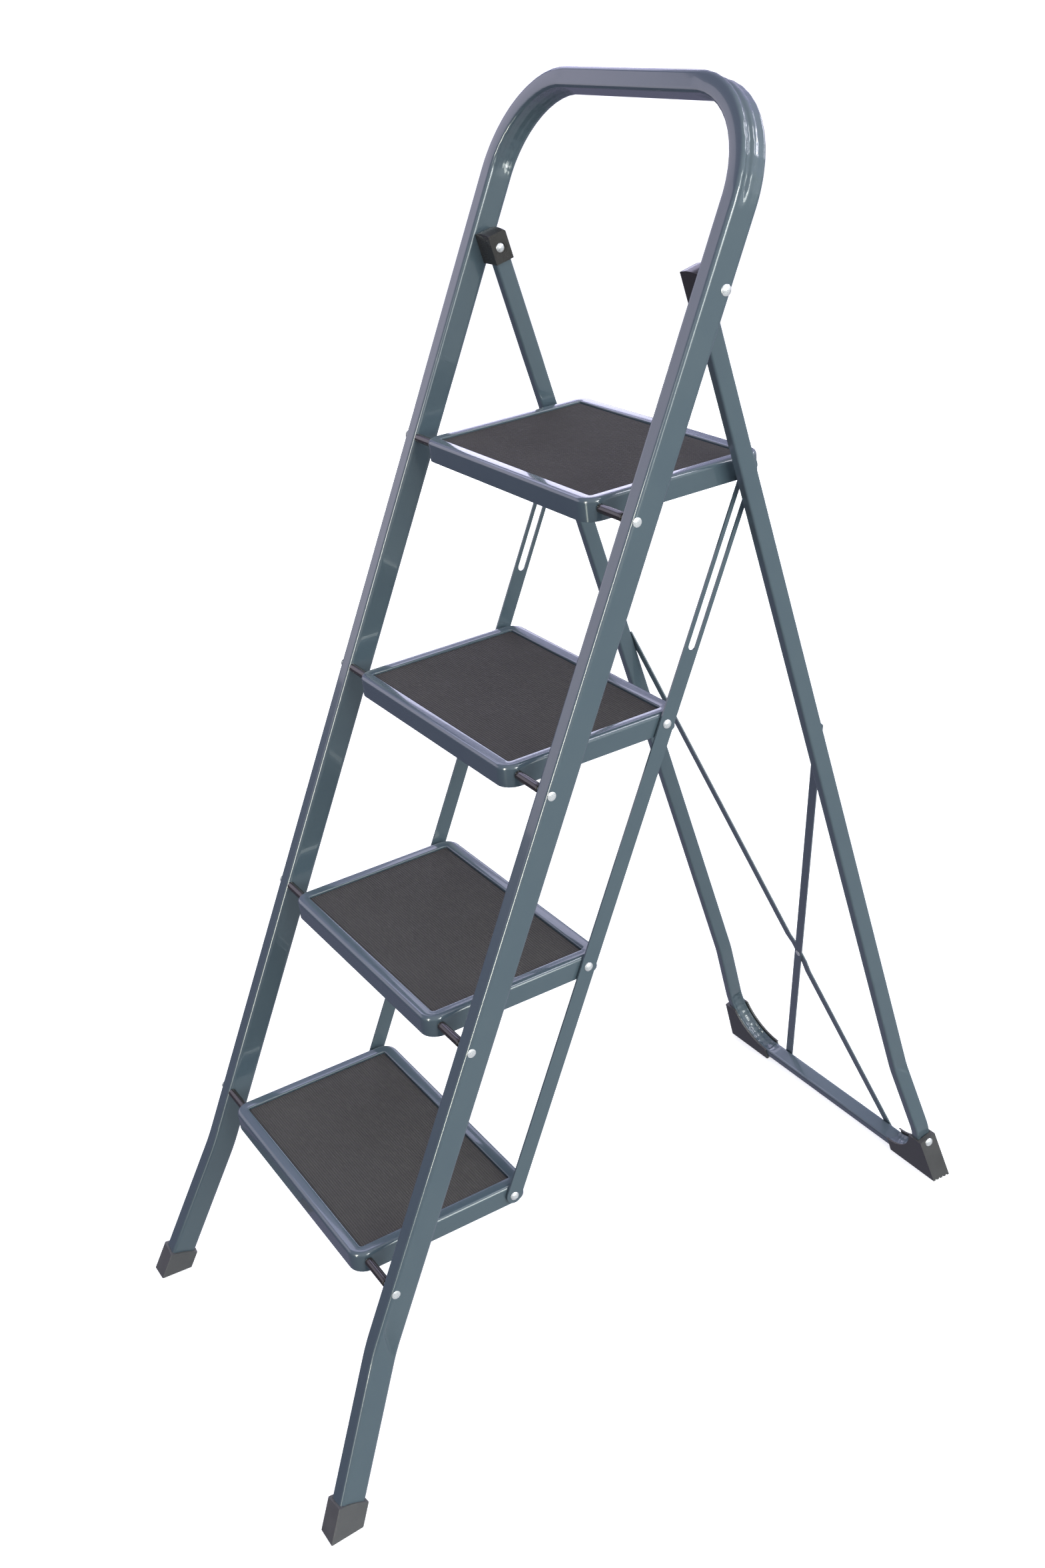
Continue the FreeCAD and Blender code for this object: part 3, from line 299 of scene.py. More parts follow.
def plastic(name, dark, light, rough=(0.38, 0.52), grain=0.10, coat=0.0):
    """Moulded plastic: fine spark-eroded grain, faint flow mottling."""
    mat = bpy.data.materials.new(name)
    nt, b = nodes_of(mat)
    flow = noise(nt, 40.0, 6.0, 0.6)
    col = ramp(nt, flow.outputs["Fac"], [(0.3, dark), (0.7, light)])
    nt.links.new(col.outputs[0], b.inputs["Base Color"])
    r = rng(nt, flow.outputs["Fac"], 0.3, 0.7, rough[0], rough[1])
    nt.links.new(r.outputs[0], b.inputs["Roughness"])
    g = noise(nt, 1400.0, 3.0, 0.6)
    nt.links.new(bump(nt, g.outputs["Fac"], grain, 0.0003).outputs[0], b.inputs["Normal"])
    b.inputs["Coat Weight"].default_value = coat
    b.inputs["Coat Roughness"].default_value = 0.15
    return mat


def rubber(name):
    """Ribbed tread mat: warm dark grey, dusty in the grooves, dull."""
    mat = bpy.data.materials.new(name)
    nt, b = nodes_of(mat)
    patch = noise(nt, 14.0, 6.0, 0.65)
    fine = noise(nt, 260.0, 4.0, 0.6, stretch=(0.35, 1.0, 1.0))
    base = ramp(nt, patch.outputs["Fac"], [(0.30, (0.064, 0.059, 0.054, 1)), (0.52, (0.070, 0.065, 0.060, 1)),
                                            (0.75, (0.078, 0.073, 0.067, 1))])
    dust = ramp(nt, fine.outputs["Fac"], [(0.5, grey(0.0)), (0.78, grey(0.6))])
    mix = nt.nodes.new("ShaderNodeMix")
    mix.data_type = "RGBA"
    nt.links.new(dust.outputs[0], mix.inputs["Factor"])
    nt.links.new(base.outputs[0], mix.inputs["A"])
    lt = ramp(nt, patch.outputs["Fac"], [(0.0, (0.092, 0.087, 0.081, 1)), (1.0, (0.108, 0.102, 0.095, 1))])
    nt.links.new(lt.outputs[0], mix.inputs["B"])
    nt.links.new(mix.outputs["Result"], b.inputs["Base Color"])
    r = rng(nt, fine.outputs["Fac"], 0.3, 0.7, 0.62, 0.82)
    nt.links.new(r.outputs[0], b.inputs["Roughness"])
    nt.links.new(bump(nt, fine.outputs["Fac"], 0.25, 0.0003).outputs[0], b.inputs["Normal"])
    b.inputs["Specular IOR Level"].default_value = 0.35
    return mat


def zinc(name, rough=(0.16, 0.30)):
    """Bright zinc plate on upset steel heads: fine spangle and setting marks."""
    mat = bpy.data.materials.new(name)
    nt, b = nodes_of(mat)
    sp = noise(nt, 900.0, 3.0, 0.6)
    col = ramp(nt, sp.outputs["Fac"], [(0.3, (0.80, 0.80, 0.81, 1)), (0.7, (0.90, 0.90, 0.90, 1))])
    nt.links.new(col.outputs[0], b.inputs["Base Color"])
    r = rng(nt, sp.outputs["Fac"], 0.3, 0.7, rough[0], rough[1])
    nt.links.new(r.outputs[0], b.inputs["Roughness"])
    nt.links.new(bump(nt, sp.outputs["Fac"], 0.12, 0.0004).outputs[0], b.inputs["Normal"])
    b.inputs["Metallic"].default_value = 0.55
    return mat


PAINT = paint()
HINGE = plastic("moulded_brown_black", (0.026, 0.023, 0.021, 1), (0.035, 0.031, 0.028, 1), (0.22, 0.34), 0.05, 0.3)
SHOE = plastic("moulded_grey_black", (0.062, 0.060, 0.060, 1), (0.080, 0.078, 0.078, 1), (0.36, 0.50), 0.08)
CAP = plastic("moulded_cap_grey", (0.088, 0.087, 0.089, 1), (0.106, 0.105, 0.106, 1), (0.44, 0.6), 0.10)
SLEEVE = plastic("gloss_black_sleeve", (0.018, 0.014, 0.010, 1), (0.027, 0.021, 0.016, 1), (0.12, 0.2), 0.02, 0.4)
MAT = rubber("ribbed_rubber")
ZINC = zinc("zinc_plate")


# ------------------------------------------------------------------ swept tubes
def smooth01(t):
    t = min(1.0, max(0.0, t))
    return t * t * (3 - 2 * t)


def run(points):
    """Sample a planar chain of ('line', p, q) and ('arc', centre, R, a0, a1) pieces.

    Returns stations (x, z, nx, nz, where) with the outward normal on the left of travel turned by side."""
    out = []
    for k, item in enumerate(points):
        if item[0] == "line":
            _, p, q, tag = item
            d = math.hypot(q[0] - p[0], q[1] - p[1])
            n = max(2, int(d / 24))
            t = ((q[0] - p[0]) / d, (q[1] - p[1]) / d)
            for i in range(n + 1):
                f = i / n
                out.append((p[0] + (q[0] - p[0]) * f, p[1] + (q[1] - p[1]) * f, t[0], t[1], tag, f))
        else:
            _, c, R, a0, a1, tag = item
            n = max(8, int(abs(a1 - a0) * (R + 20) / 1.8)) if R < 150 else max(8, int(abs(a1 - a0) * R / 2.5))
            s = 1 if a1 > a0 else -1
            for i in range(n + 1):
                f = i / n
                a = a0 + (a1 - a0) * f
                out.append((c[0] + R * math.cos(a), c[1] + R * math.sin(a), -s * math.sin(a), s * math.cos(a), tag, f))
    # drop doubled joints
    res = [out[0]]
    for o in out[1:]:
        if math.hypot(o[0] - res[-1][0], o[1] - res[-1][1]) > 0.02:
            res.append(o)
    return res


def section(half_a, half_b, r, corner=6, flat=10):
    """Rounded rectangle outline: list of (a, b, side, u); side 0 outer(+a) 1 back(+b) 2 inner(-a) 3 front(-b)."""
    pts = []
    for side in range(4):
        ca = (half_a - r) * (1 if side in (0, 1) else -1)
        # start of each flat, going round anticlockwise in (a, b)
        if side == 0:
            p0, p1 = (half_a, -(half_b - r)), (half_a, half_b - r)
            cc, s0 = (half_a - r, half_b - r), 0.0
        elif side == 1:
            p0, p1 = (half_a - r, half_b), (-(half_a - r), half_b)
            cc, s0 = (-(half_a - r), half_b - r), math.pi / 2
        elif side == 2:
            p0, p1 = (-half_a, half_b - r), (-half_a, -(half_b - r))
            cc, s0 = (-(half_a - r), -(half_b - r)), math.pi
        else:
            p0, p1 = (-(half_a - r), -half_b), (half_a - r, -half_b)
            cc, s0 = (half_a - r, -(half_b - r)), 3 * math.pi / 2
        for i in range(flat):
            u = i / flat
            pts.append((p0[0] + (p1[0] - p0[0]) * u, p0[1] + (p1[1] - p0[1]) * u, side, u))
        for i in range(corner):
            a = s0 + (math.pi / 2) * i / corner
            pts.append((cc[0] + r * math.cos(a), cc[1] + r * math.sin(a), 10 + side, i / corner))
    return pts


def tube(name, stations, half_a, half_b, r, place, dent, material, wall=1.2, b_mid=0.0, flat=10):
    """Sweep the section; place(x, depth, z) maps to the row frame; dent(station, side, u) is inward millimetres."""
    sec = section(half_a, half_b, r, flat=flat)
    n = len(sec)
    verts, faces = [], []
    for st in stations:
        x, z, tx, tz, tag, f = st
        nx, nz = -tz, tx                     # left of travel = outward
        for (a, b, side, u) in sec:
            if side < 4:
                d = dent(st, side, u)
                if side == 0:
                    a -= d
                elif side == 2:
                    a += d
                elif side == 1:
                    b -= d
                else:
                    b += d
            else:
                # the ripples of a bend run out round the corners beside it
                d = dent(st, side, u)
                a += d if side in (11, 12) else -d
            verts.append(place(x + nx * a, b + b_mid, z + nz * a))
    m = len(stations)
    for k in range(m - 1):
        for i in range(n):
            j = (i + 1) % n
            faces.append((k * n + i, k * n + j, (k + 1) * n + j, (k + 1) * n + i))
    # open ends with a visible wall thickness
    for k in (0, m - 1):
        x, z, tx, tz, tag, f = stations[k]
        nx, nz = -tz, tx
        sgn = 1 if k == 0 else -1
        inner = []
        deep = []
        for (a, b, side, u) in section(half_a - wall, half_b - wall, max(0.4, r - wall), flat=flat):
            inner.append(len(verts))
            verts.append(place(x + nx * a, b + b_mid, z + nz * a))
        for (a, b, side, u) in section(half_a - wall, half_b - wall, max(0.4, r - wall), flat=flat):
            deep.append(len(verts))
            verts.append(place(x + nx * a + tx * sgn * 12, b + b_mid, z + nz * a + tz * sgn * 12))
        for i in range(n):
            j = (i + 1) % n
            faces.append((k * n + i, k * n + j, inner[j], inner[i]))
            faces.append((inner[i], inner[j], deep[j], deep[i]))
        faces.append(tuple(deep))
    ob = mesh_object(name, verts, faces, material)
    weighted(ob, 60)
    return ob


# ------------------------------------------------------------------ front frame tube
SPLAY = math.radians(8.6)
C0, TOP, RH = 203.5, 1118.0, 94.0
RS = 180.0
tl = RS * math.tan(SPLAY / 2)
zk = -64.4
p5 = (C0 + (231.5 - 64.4) * math.tan(SPLAY), -231.5)
p4 = (C0 + tl * math.sin(SPLAY), zk - tl * math.cos(SPLAY))
pb = (C0, zk + tl)
# travel: right foot -> up the right stile -> hoop -> down to the left foot; outward is on the right of travel
R_ = [
    ("line", p5, p4, "footR"),
    ("arc", (C0 + RS, zk + tl), RS, math.pi + SPLAY, math.pi, "kneeR"),
    ("line", pb, (C0, TOP - RH), "stileR"),
    ("arc", (C0 - RH, TOP - RH), RH, 0.0, math.pi / 2, "hoopR"),
    ("line", (C0 - RH, TOP), (-(C0 - RH), TOP), "bar"),
    ("arc", (-(C0 - RH), TOP - RH), RH, math.pi / 2, math.pi, "hoopL"),
    ("line", (-C0, TOP - RH), (-C0, zk + tl), "stileL"),
    ("arc", (-C0 - RS, zk + tl), RS, 0.0, -SPLAY, "kneeL"),
    ("line", (-p4[0], p4[1]), (-p5[0], p5[1]), "footL"),
]


def arc_pos(stations):
    s, out = 0.0, []
    for k, st in enumerate(stations):
        if k:
            s += math.hypot(st[0] - stations[k - 1][0], st[1] - stations[k - 1][1])
        out.append(s)
    return out


def refine(stations, spots, step=3.0, reach=34.0):
    """Add stations on straight runs near the bends, so dents can fade out there."""
    out = [stations[0]]
    for a, b in zip(stations, stations[1:]):
        d = math.hypot(b[0] - a[0], b[1] - a[1])
        mid = ((a[0] + b[0]) / 2, (a[1] + b[1]) / 2)
        near = any(math.hypot(mid[0] - q[0], mid[1] - q[1]) < reach + d / 2 for q in spots)
        n = int(d / step) if near and d > step * 1.5 else 1
        for i in range(1, n):
            f = i / n
            out.append((a[0] + (b[0] - a[0]) * f, a[1] + (b[1] - a[1]) * f, b[2], b[3], b[4], a[5] + (b[5] - a[5]) * f if b[5] > a[5] else b[5] * f))
        out.append(b)
    return out


front_st = run(R_)
spots = [(C0, TOP - RH), (C0 - RH, TOP), (-C0, TOP - RH), (-(C0 - RH), TOP), (C0, zk), (-C0, zk)]
front_st = refine(front_st, spots, step=1.7)


def dist_along(st, spot):
    return math.hypot(st[0] - spot[0], st[1] - spot[1])


def hoop_weight(st):
    """1 inside a hoop bend, fading out over a short run beyond each end."""
    x, z = abs(st[0]), st[1]
    cx, cz = C0 - RH, TOP - RH
    if x > cx and z > cz:
        ang = math.atan2(z - cz, x - cx)
        edge = min(ang, math.pi / 2 - ang) * RH
        return smooth01((edge + 6) / 20)
    if z <= cz:
        return smooth01((6 - (cz - z)) / 20)
    return smooth01((6 - (cx - x)) / 20)


def knee_dimple(st, u):
    """Depth of the pressed-in patch above the splay: it ends at a crease that runs down towards the back."""
    s = st[1] - (-70.0 + 32.0 * u)
    if s >= 0:
        f = math.exp(-((s / 15.0) ** 1.6))
    else:
        f = smooth01(1 + s / 4.5)
    return 2.6 * f * dish(u, 0.6)


def dish(u, p=1.0):
    v = max(0.0, 1 - (2 * u - 1) ** 2)
    return v ** p


def through(pts, u):
    """Smooth curve through (u, value) pairs."""
    for (u0, v0), (u1, v1) in zip(pts, pts[1:]):
        if u <= u1:
            return v0 + (v1 - v0) * smooth01((u - u0) / (u1 - u0))
    return pts[-1][1]


def hoop_s(st):
    """Length round a hoop bend from its lower end."""
    cx, cz = C0 - RH, TOP - RH
    x, z = abs(st[0]), st[1]
    if x > cx and z > cz:
        return math.atan2(z - cz, x - cx) * (RH + 10)
    return z - cz if z <= cz else math.pi / 2 * (RH + 10) + (cx - x)


def ripple(s, w, size, pitch):
    return w * size * (0.5 + 0.38 * math.sin(2 * math.pi * s / pitch) + 0.12 * math.sin(2 * math.pi * s / (pitch * 0.43) + 1.0))


# across the bend's outer wall, back to front: low crown, ridge, deep valley beside the front corner
VALLEY = [(0.0, 0.0), (0.10, 0.30), (0.30, 0.70), (0.42, 0.55), (0.48, 0.50), (0.54, 0.85), (0.70, 3.1), (0.80, 3.2), (0.92, 1.5), (1.0, 0.0)]
HOLLOW = [(0.0, 0.0), (0.10, 0.7), (0.26, 1.8), (0.46, 2.3), (0.62, 1.9), (0.82, 0.8), (1.0, 0.0)]


def front_dent(st, side, u):
    w = hoop_weight(st)
    rp = ripple(hoop_s(st), w, 0.34, 14.5) if w > 0 else 0.0
    ri = ripple(hoop_s(st) * 0.87, w, 0.34, 12.0) if w > 0 else 0.0
    if side == OUTER:
        return w * through(VALLEY, u) + rp + (knee_dimple(st, u) if st[1] < 10 else 0.0)
    if side == INNER:
        return w * through(HOLLOW, u) + ri
    if side == 11:
        return rp * smooth01(u)
    if side == 12:
        return rp * (1 - smooth01(u))
    if side == 13:
        return ri * smooth01(u)
    if side == 10:
        return ri * (1 - smooth01(u))
    return -0.25 * w * dish(u)


# the chain runs anticlockwise round the hoop, so its outer side is on the right of travel (side 2)
OUTER, INNER = 2, 0
front = tube("front_tube_look", front_st, 10.0, 13.5, 3.8, stile, front_dent, PAINT, b_mid=9.0, flat=22)
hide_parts("front_frame_tube")
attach(front, "front_frame")

# ------------------------------------------------------------------ rear frame tube
TAPER, FLARE = math.radians(0.56), math.radians(7.5)
kx = 174.2 - 930.0 * math.tan(TAPER)
kz = -930.0
RK, RC, DROP = 60.0, 60.0, 1078.6
kt = RK * math.tan((TAPER + FLARE) / 2)
cx = kx + (DROP - 930.0) * math.tan(FLARE)
ct = RC * math.tan((math.pi / 2 + FLARE) / 2)
q_bar = (cx - ct, -DROP)
q_leg = (cx - ct * math.sin(FLARE), -DROP + ct * math.cos(FLARE))
q_k1 = (kx + kt * math.sin(FLARE), kz - kt * math.cos(FLARE))
q_k2 = (kx + kt * math.sin(TAPER), kz + kt * math.cos(TAPER))
q_top = (174.2 + 10 * math.tan(TAPER), 10.0)
# travel from the left leg's top, down, along the bar and up the right leg: anticlockwise, outer side on the right
half = [
    ("line", (0.0, -DROP), q_bar, "bar"),
    ("arc", (q_bar[0], -DROP + RC), RC, -math.pi / 2, FLARE, "corner"),
    ("line", q_leg, q_k1, "low"),
    ("arc", (kx + RK * math.cos(TAPER) + kt * math.sin(TAPER), kz + kt * math.cos(TAPER) + RK * math.sin(TAPER)), RK,
     math.pi + FLARE, math.pi + TAPER * 0 - TAPER, "kink"),
    ("line", q_k2, q_top, "leg"),
]
# the small kink is drawn as a straight chord through its two ends: its centre is not needed
half[3] = ("line", q_k1, q_k2, "kink")
right = run(half)
left = [(-x, z, tx, -tz, tag, f) for (x, z, tx, tz, tag, f) in reversed(right)]
rear_st = [s for s in left[:-1]] + right
rear_st = refine(rear_st, [q_bar, q_leg, (-q_bar[0], q_bar[1]), (-q_leg[0], q_leg[1]), (kx, kz), (-kx, kz)], step=2.0)


def rear_weight(st):
    x, z = abs(st[0]), st[1]
    ccx, ccz = q_bar[0], -DROP + RC
    ang = math.atan2(z - ccz, x - ccx)
    if x >= ccx and -math.pi / 2 <= ang <= FLARE:
        edge = min(ang + math.pi / 2, FLARE - ang) * RC
        return smooth01((edge + 10) / 22)
    if x < ccx:
        return smooth01((10 - (ccx - x)) / 22)
    return smooth01((10 - math.hypot(x - q_leg[0], z - q_leg[1])) / 22)


def rear_dent(st, side, u):
    w = rear_weight(st)
    if side in (1, 3):
        return -0.05 * w * dish(u)
    if side == 2 and abs(st[1] - kz) < 40:
        s = st[1] - (kz - 9.0 + 15.0 * u)
        f = math.exp(-((s / 9.0) ** 1.6)) if s >= 0 else smooth01(1 + s / 3.5)
        return 1.3 * f * dish(u, 0.6)
    x, z = abs(st[0]), st[1]
    s = math.atan2(z - (-DROP + RC), x - q_bar[0]) * RC if w > 0 else 0.0
    ri = ripple(s, w, 0.55, 8.5)
    rp = ripple(s, w, 0.16, 11.0)
    if side == 0:
        return 2.4 * w * dish(u, 0.9) + ri        # inner wall, the one seen inside the bend
    if side == 2:
        return 1.0 * w * dish(u, 0.8) + rp
    f = {11: smooth01(u), 12: 1 - smooth01(u), 13: smooth01(u), 10: 1 - smooth01(u)}[side]
    return (rp if side in (11, 12) else ri) * f


rear = tube("rear_tube_look", rear_st, 5.75, 9.0, 2.2, leg, rear_dent, PAINT, flat=14)
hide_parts("rear_frame_tube")
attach(rear, "rear_frame")


# ------------------------------------------------------------------ steps
def rrect(x0, x1, y0, y1, r, z, nc=8, nx=6, ny=4):
    """Rounded rectangle loop with a fixed number of points."""
    pts = []
    corners = [((x1 - r, y0 + r), -90), ((x1 - r, y1 - r), 0), ((x0 + r, y1 - r), 90), ((x0 + r, y0 + r), 180)]
    for c, (cc, a0) in enumerate(corners):
        for k in range(nc + 1):
            a = math.radians(a0 + 90 * k / nc)
            pts.append((cc[0] + r * math.cos(a), cc[1] + r * math.sin(a), z))
    return pts


def tray(i):
    o = A[i - 1]
    ox0, ox1, oy0, oy1, orad = -155.0, 155.0, -14.0, 180.0, 17.0
    rx0, rx1, ry0, ry1, rrad = -141.4, 141.4, -0.9, 166.2, 2.5
    loops = []

    def outer(inset, z, r=None):
        rr = max(0.8, orad - inset) if r is None else r
        loops.append(rrect(ox0 + inset, ox1 - inset, oy0 + inset, oy1 - inset, rr, z))

    def inner(grow, z, r=None):
        rr = max(0.6, rrad + grow) if r is None else r
        loops.append(rrect(rx0 - grow, rx1 + grow, ry0 - grow, ry1 + grow, rr, z))

    def mix(f, z):
        """Between the outer outline inset 5 mm and the recess outline grown 1.6 mm."""
        a = (ox0 + 5, ox1 - 5, oy0 + 5, oy1 - 5, orad - 5)
        b = (rx0 - 1.6, rx1 + 1.6, ry0 - 1.6, ry1 + 1.6, rrad + 1.6)
        v = [p + (q - p) * f for p, q in zip(a, b)]
        loops.append(rrect(v[0], v[1], v[2], v[3], v[4], z))

    t = 1.2
    R = 4.2
    top = 9.5
    # underside of the deck, outwards and up under the rim, down inside the flange, round the lip
    loops.append(rrect(rx0 + 6, rx1 - 6, ry0 + 6, ry1 - 6, 2.0, 5.2 - t))
    inner(t, 5.2 - t, 3.6)
    inner(t + 0.4, 5.6 - t + 0.6, 4.0)
    inner(t + 0.5, top - t - 0.5, 4.2)
    mix(0.5, top - t)
    outer(R + 0.2, top - t)
    outer(t + 1.0, top - t - 1.4)
    outer(t, top - R)
    outer(t, -11.7)
    outer(t - 0.25, -12.0)
    outer(0.25, -12.0)
    outer(0.0, -11.7)
    outer(0.0, -4.0)
    outer(0.0, top - R)
    for k in range(1, 9):
        a = math.radians(90 * k / 9)
        outer(R * (1 - math.cos(a)), top - R + R * math.sin(a))
    outer(R, top)
    mix(0.10, top + 0.0)
    mix(0.35, top - 0.05)
    mix(0.65, top - 0.12)
    mix(0.92, top - 0.25)
    rr = 1.3
    zt = top - 0.32
    for k in range(0, 6):
        a = math.radians(90 * k / 5)
        inner(rr * (1 - math.sin(a)), zt - rr + rr * math.cos(a))
    inner(0.0, 5.9)
    inner(-0.15, 5.45)
    inner(-0.6, 5.2)
    loops.append(rrect(rx0 + 6, rx1 - 6, ry0 + 6, ry1 - 6, 2.0, 5.2))
    verts, faces = [], []
    n = len(loops[0])
    for lp in loops:
        for p in lp:
            verts.append((Vector(p) + o) * MM)
    for k in range(len(loops) - 1):
        for a in range(n):
            b = (a + 1) % n
            faces.append((k * n + a, k * n + b, (k + 1) * n + b, (k + 1) * n + a))
    faces.append(tuple(range(n)))
    faces.append(tuple(range((len(loops) - 1) * n, len(loops) * n)))
    ob = mesh_object("step_tray_%d_look" % i, verts, faces, PAINT)
    weighted(ob, 65)
    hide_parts("step_tray_%d" % i)
    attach(ob, "step_%d" % i)
    return ob


def mat(i):
    """Ribbed mat: one rib every 2.5 mm, running across the step."""
    o = A[i - 1]
    x0, y0, y1 = 140.7, -0.2, 165.5
    low, top = 5.25, 7.3
    r = 2.2
    pitch = (y1 - y0 - 1.6) / 66.0
    prof = [(y0, low), (y0, top - 0.75), (y0 + 0.25, top - 0.45), (y0 + 0.8, top - 0.42)]
    shape = ((0.10, 0.42), (0.24, 0.12), (0.38, 0.0), (0.62, 0.0), (0.76, 0.12), (0.90, 0.42))
    for k in range(66):
        for f, d in shape:
            prof.append((y0 + 0.8 + (k + f) * pitch, top - d * 1.5))
    prof += [(y1 - 0.8, top - 0.42), (y1 - 0.25, top - 0.45), (y1, top - 0.75), (y1, low)]
    verts, faces = [], []
    xs = (-1.0, -0.5, 0.0, 0.5, 1.0)
    cols = []
    for (y, z) in prof:
        d = min(y - y0, y1 - y)
        lim = x0 - (r - math.sqrt(max(0.0, r * r - (r - d) ** 2)) if d < r else 0.0)
        row = []
        # rounded-down ends of each rib
        for (f, dz, dx) in ((-1, None, 0.0), (-1, 0.75, 0.0), (-1, 0.25, 0.25), (-1, 0.0, 0.7), (-0.5, 0, 0), (0, 0, 0),
                            (0.5, 0, 0), (1, 0.0, 0.7), (1, 0.25, 0.25), (1, 0.75, 0.0), (1, None, 0.0)):
            x = f * lim - (dx if f > 0 else -dx if f < 0 else 0)
            zz = low if dz is None else max(low, z - dz)
            row.append(len(verts))
            verts.append((Vector((x, y, zz)) + o) * MM)
        cols.append(row)
    for p, q in zip(cols, cols[1:]):
        for k in range(len(p) - 1):
            faces.append((p[k], q[k], q[k + 1], p[k + 1]))
    # bottom
    for p, q in zip(cols, cols[1:]):
        faces.append((p[0], p[-1], q[-1], q[0]))
    faces.append(tuple(cols[0]))
    faces.append(tuple(reversed(cols[-1])))
    ob = mesh_object("tread_mat_%d_look" % i, verts, faces, MAT)
    weighted(ob, 62)
    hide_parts("tread_mat_%d" % i)
    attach(ob, "step_%d" % i)
    return ob


for i in (1, 2, 3, 4):
    tray(i)
    mat(i)

# ------------------------------------------------------------------ turned pieces
OUT = 213.5
for i in range(4):
    c = A[i] * MM
    prof = list(reversed([(-a, r) for a, r in head(OUT, 4.4, 1.3, 1, 3.0, rim=0.3)])) + head(OUT, 4.4, 1.3, 1, 3.0, rim=0.3)
    ob = lathe("step_axle_%d_look" % (i + 1), c, prof, ZINC)
    weighted(ob, 55)
    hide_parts("step_axle_%d" % (i + 1))
    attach(ob, "front_frame")

sl = []
for i in range(4):
    for side in (1, -1):
        a, b = 155.6, 193.4
        prof = [(side * a, 3.06), (side * a, 4.1), (side * (a + 0.4), 4.5), (side * (a + 6), 4.5), (side * (b - 6), 4.5),
                (side * (b - 0.4), 4.5), (side * b, 4.1), (side * b, 3.06), (side * a, 3.06)]
        sl.append(lathe("sleeve_%d_%d" % (i, side), A[i] * MM, prof, SLEEVE))
ob = join("axle_sleeves_look", sl)
weighted(ob, 55)
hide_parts("axle_sleeves")
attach(ob, "front_frame")

pv = []
for side in (1, -1):
    inner = list(reversed(head(167.4, 4.7, 2.3, -1, 3.0)))
    prof = inner + head(OUT, 5.1, 2.5, 1, 3.0)
    pv.append(lathe("pivot_%d" % side, P * MM, [(side * a, r) for a, r in prof], ZINC))
ob = join("frame_pivot_rivets_look", pv)
weighted(ob, 55)
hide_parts("frame_pivot_rivets")
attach(ob, "front_frame")

lr, lwsh = [], []
for i in range(4):
    for side in (1, -1):
        inner = list(reversed(head(153.4, 4.0, 1.6, -1, 2.5)))
        prof = inner + head(158.7, 4.6, 2.4, 1, 2.5)
        lr.append(lathe("lrivet_%d_%d" % (i, side), B[i] * MM, [(side * a, r) for a, r in prof], ZINC))
        w = [(155.3, 2.55), (155.3, 5.7), (155.6, 6.0), (156.4, 6.0), (156.7, 5.7), (156.7, 2.55), (155.3, 2.55)]
        lwsh.append(lathe("lwasher_%d_%d" % (i, side), B[i] * MM, [(side * a, r) for a, r in w], ZINC))
for nm, obs in (("link_rivets", lr), ("link_washers", lwsh)):
    ob = join(nm + "_look", obs)
    weighted(ob, 55)
    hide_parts(nm)
    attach(ob, "link_bars")

sr = []
for side in (1, -1):
    d = 1037.5
    x = kx + (d - 930.0) * math.tan(FLARE)
    c = leg(side * x, 0, -d)
    ax = (leg(side * (x + math.cos(FLARE)), 0, -d + math.sin(FLARE)) - c)
    prof = [(5.0, 0.0), (5.0, 2.2)] + head(8.4, 4.9, 2.4, 1, 2.2)
    sr.append(lathe("srivet_%d" % side, c, prof, ZINC, axis=ax))
ob = join("shoe_rivets_look", sr)
weighted(ob, 55)
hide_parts("shoe_rivets")
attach(ob, "rear_frame")

sp = []
for side in (1, -1):
    d = 200.5
    x = 174.2 - d * math.tan(TAPER)
    c = leg(0, 0, -d)
    inn = x - 5.87
    cl = x - 5.75 + 1.32
    prof = [(159.2, 0.0), (159.2, 3.3), (159.5, 3.6), (inn - 2.2, 3.6), (inn - 2.2, 5.8), (inn - 2.0, 6.0), (inn - 0.2, 6.0),
            (inn, 5.8), (inn, 2.5), (cl, 2.5), (cl, 3.6), (cl + 0.9, 3.4), (cl + 1.2, 2.9), (cl + 1.2, 0.0)]
    sp.append(lathe("stud_%d" % side, c, [(side * a, r) for a, r in prof], ZINC))
ob = join("slot_pins_look", sp)
weighted(ob, 55)
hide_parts("slot_pins")
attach(ob, "rear_frame")

BACK = leg(0, 1, 0) - leg(0, 0, 0)
face = 9.05
be = []
for (x, z) in ((95.7, -1078.6), (-95.7, -1078.6), (168.0, -465.8), (-168.0, -465.8)):
    prof = [(6.55, 0.0), (6.55, 2.35), (7.75, 2.35), (7.75, 2.0)] + head(face + 1.5, 3.5, 0.9, 1, 2.0, rim=0.25)
    be.append(lathe("brivet_%d_%d" % (x, z), leg(x, 0, z), prof, ZINC, axis=BACK))
ob = join("brace_end_rivets_look", be)
weighted(ob, 55)
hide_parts("brace_end_rivets")
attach(ob, "rear_frame")
zmid = -1078.6 + (1078.6 - 465.8) * 95.7 / 263.7
prof = list(reversed(head(face, 3.8, 1.4, -1, 2.0))) + head(face + 3.05, 3.8, 1.2, 1, 2.0, rim=0.3)
ob = lathe("brace_center_rivet_look", leg(0, 0, zmid), prof, ZINC, axis=BACK)
weighted(ob, 55)
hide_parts("brace_center_rivet")
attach(ob, "rear_frame")

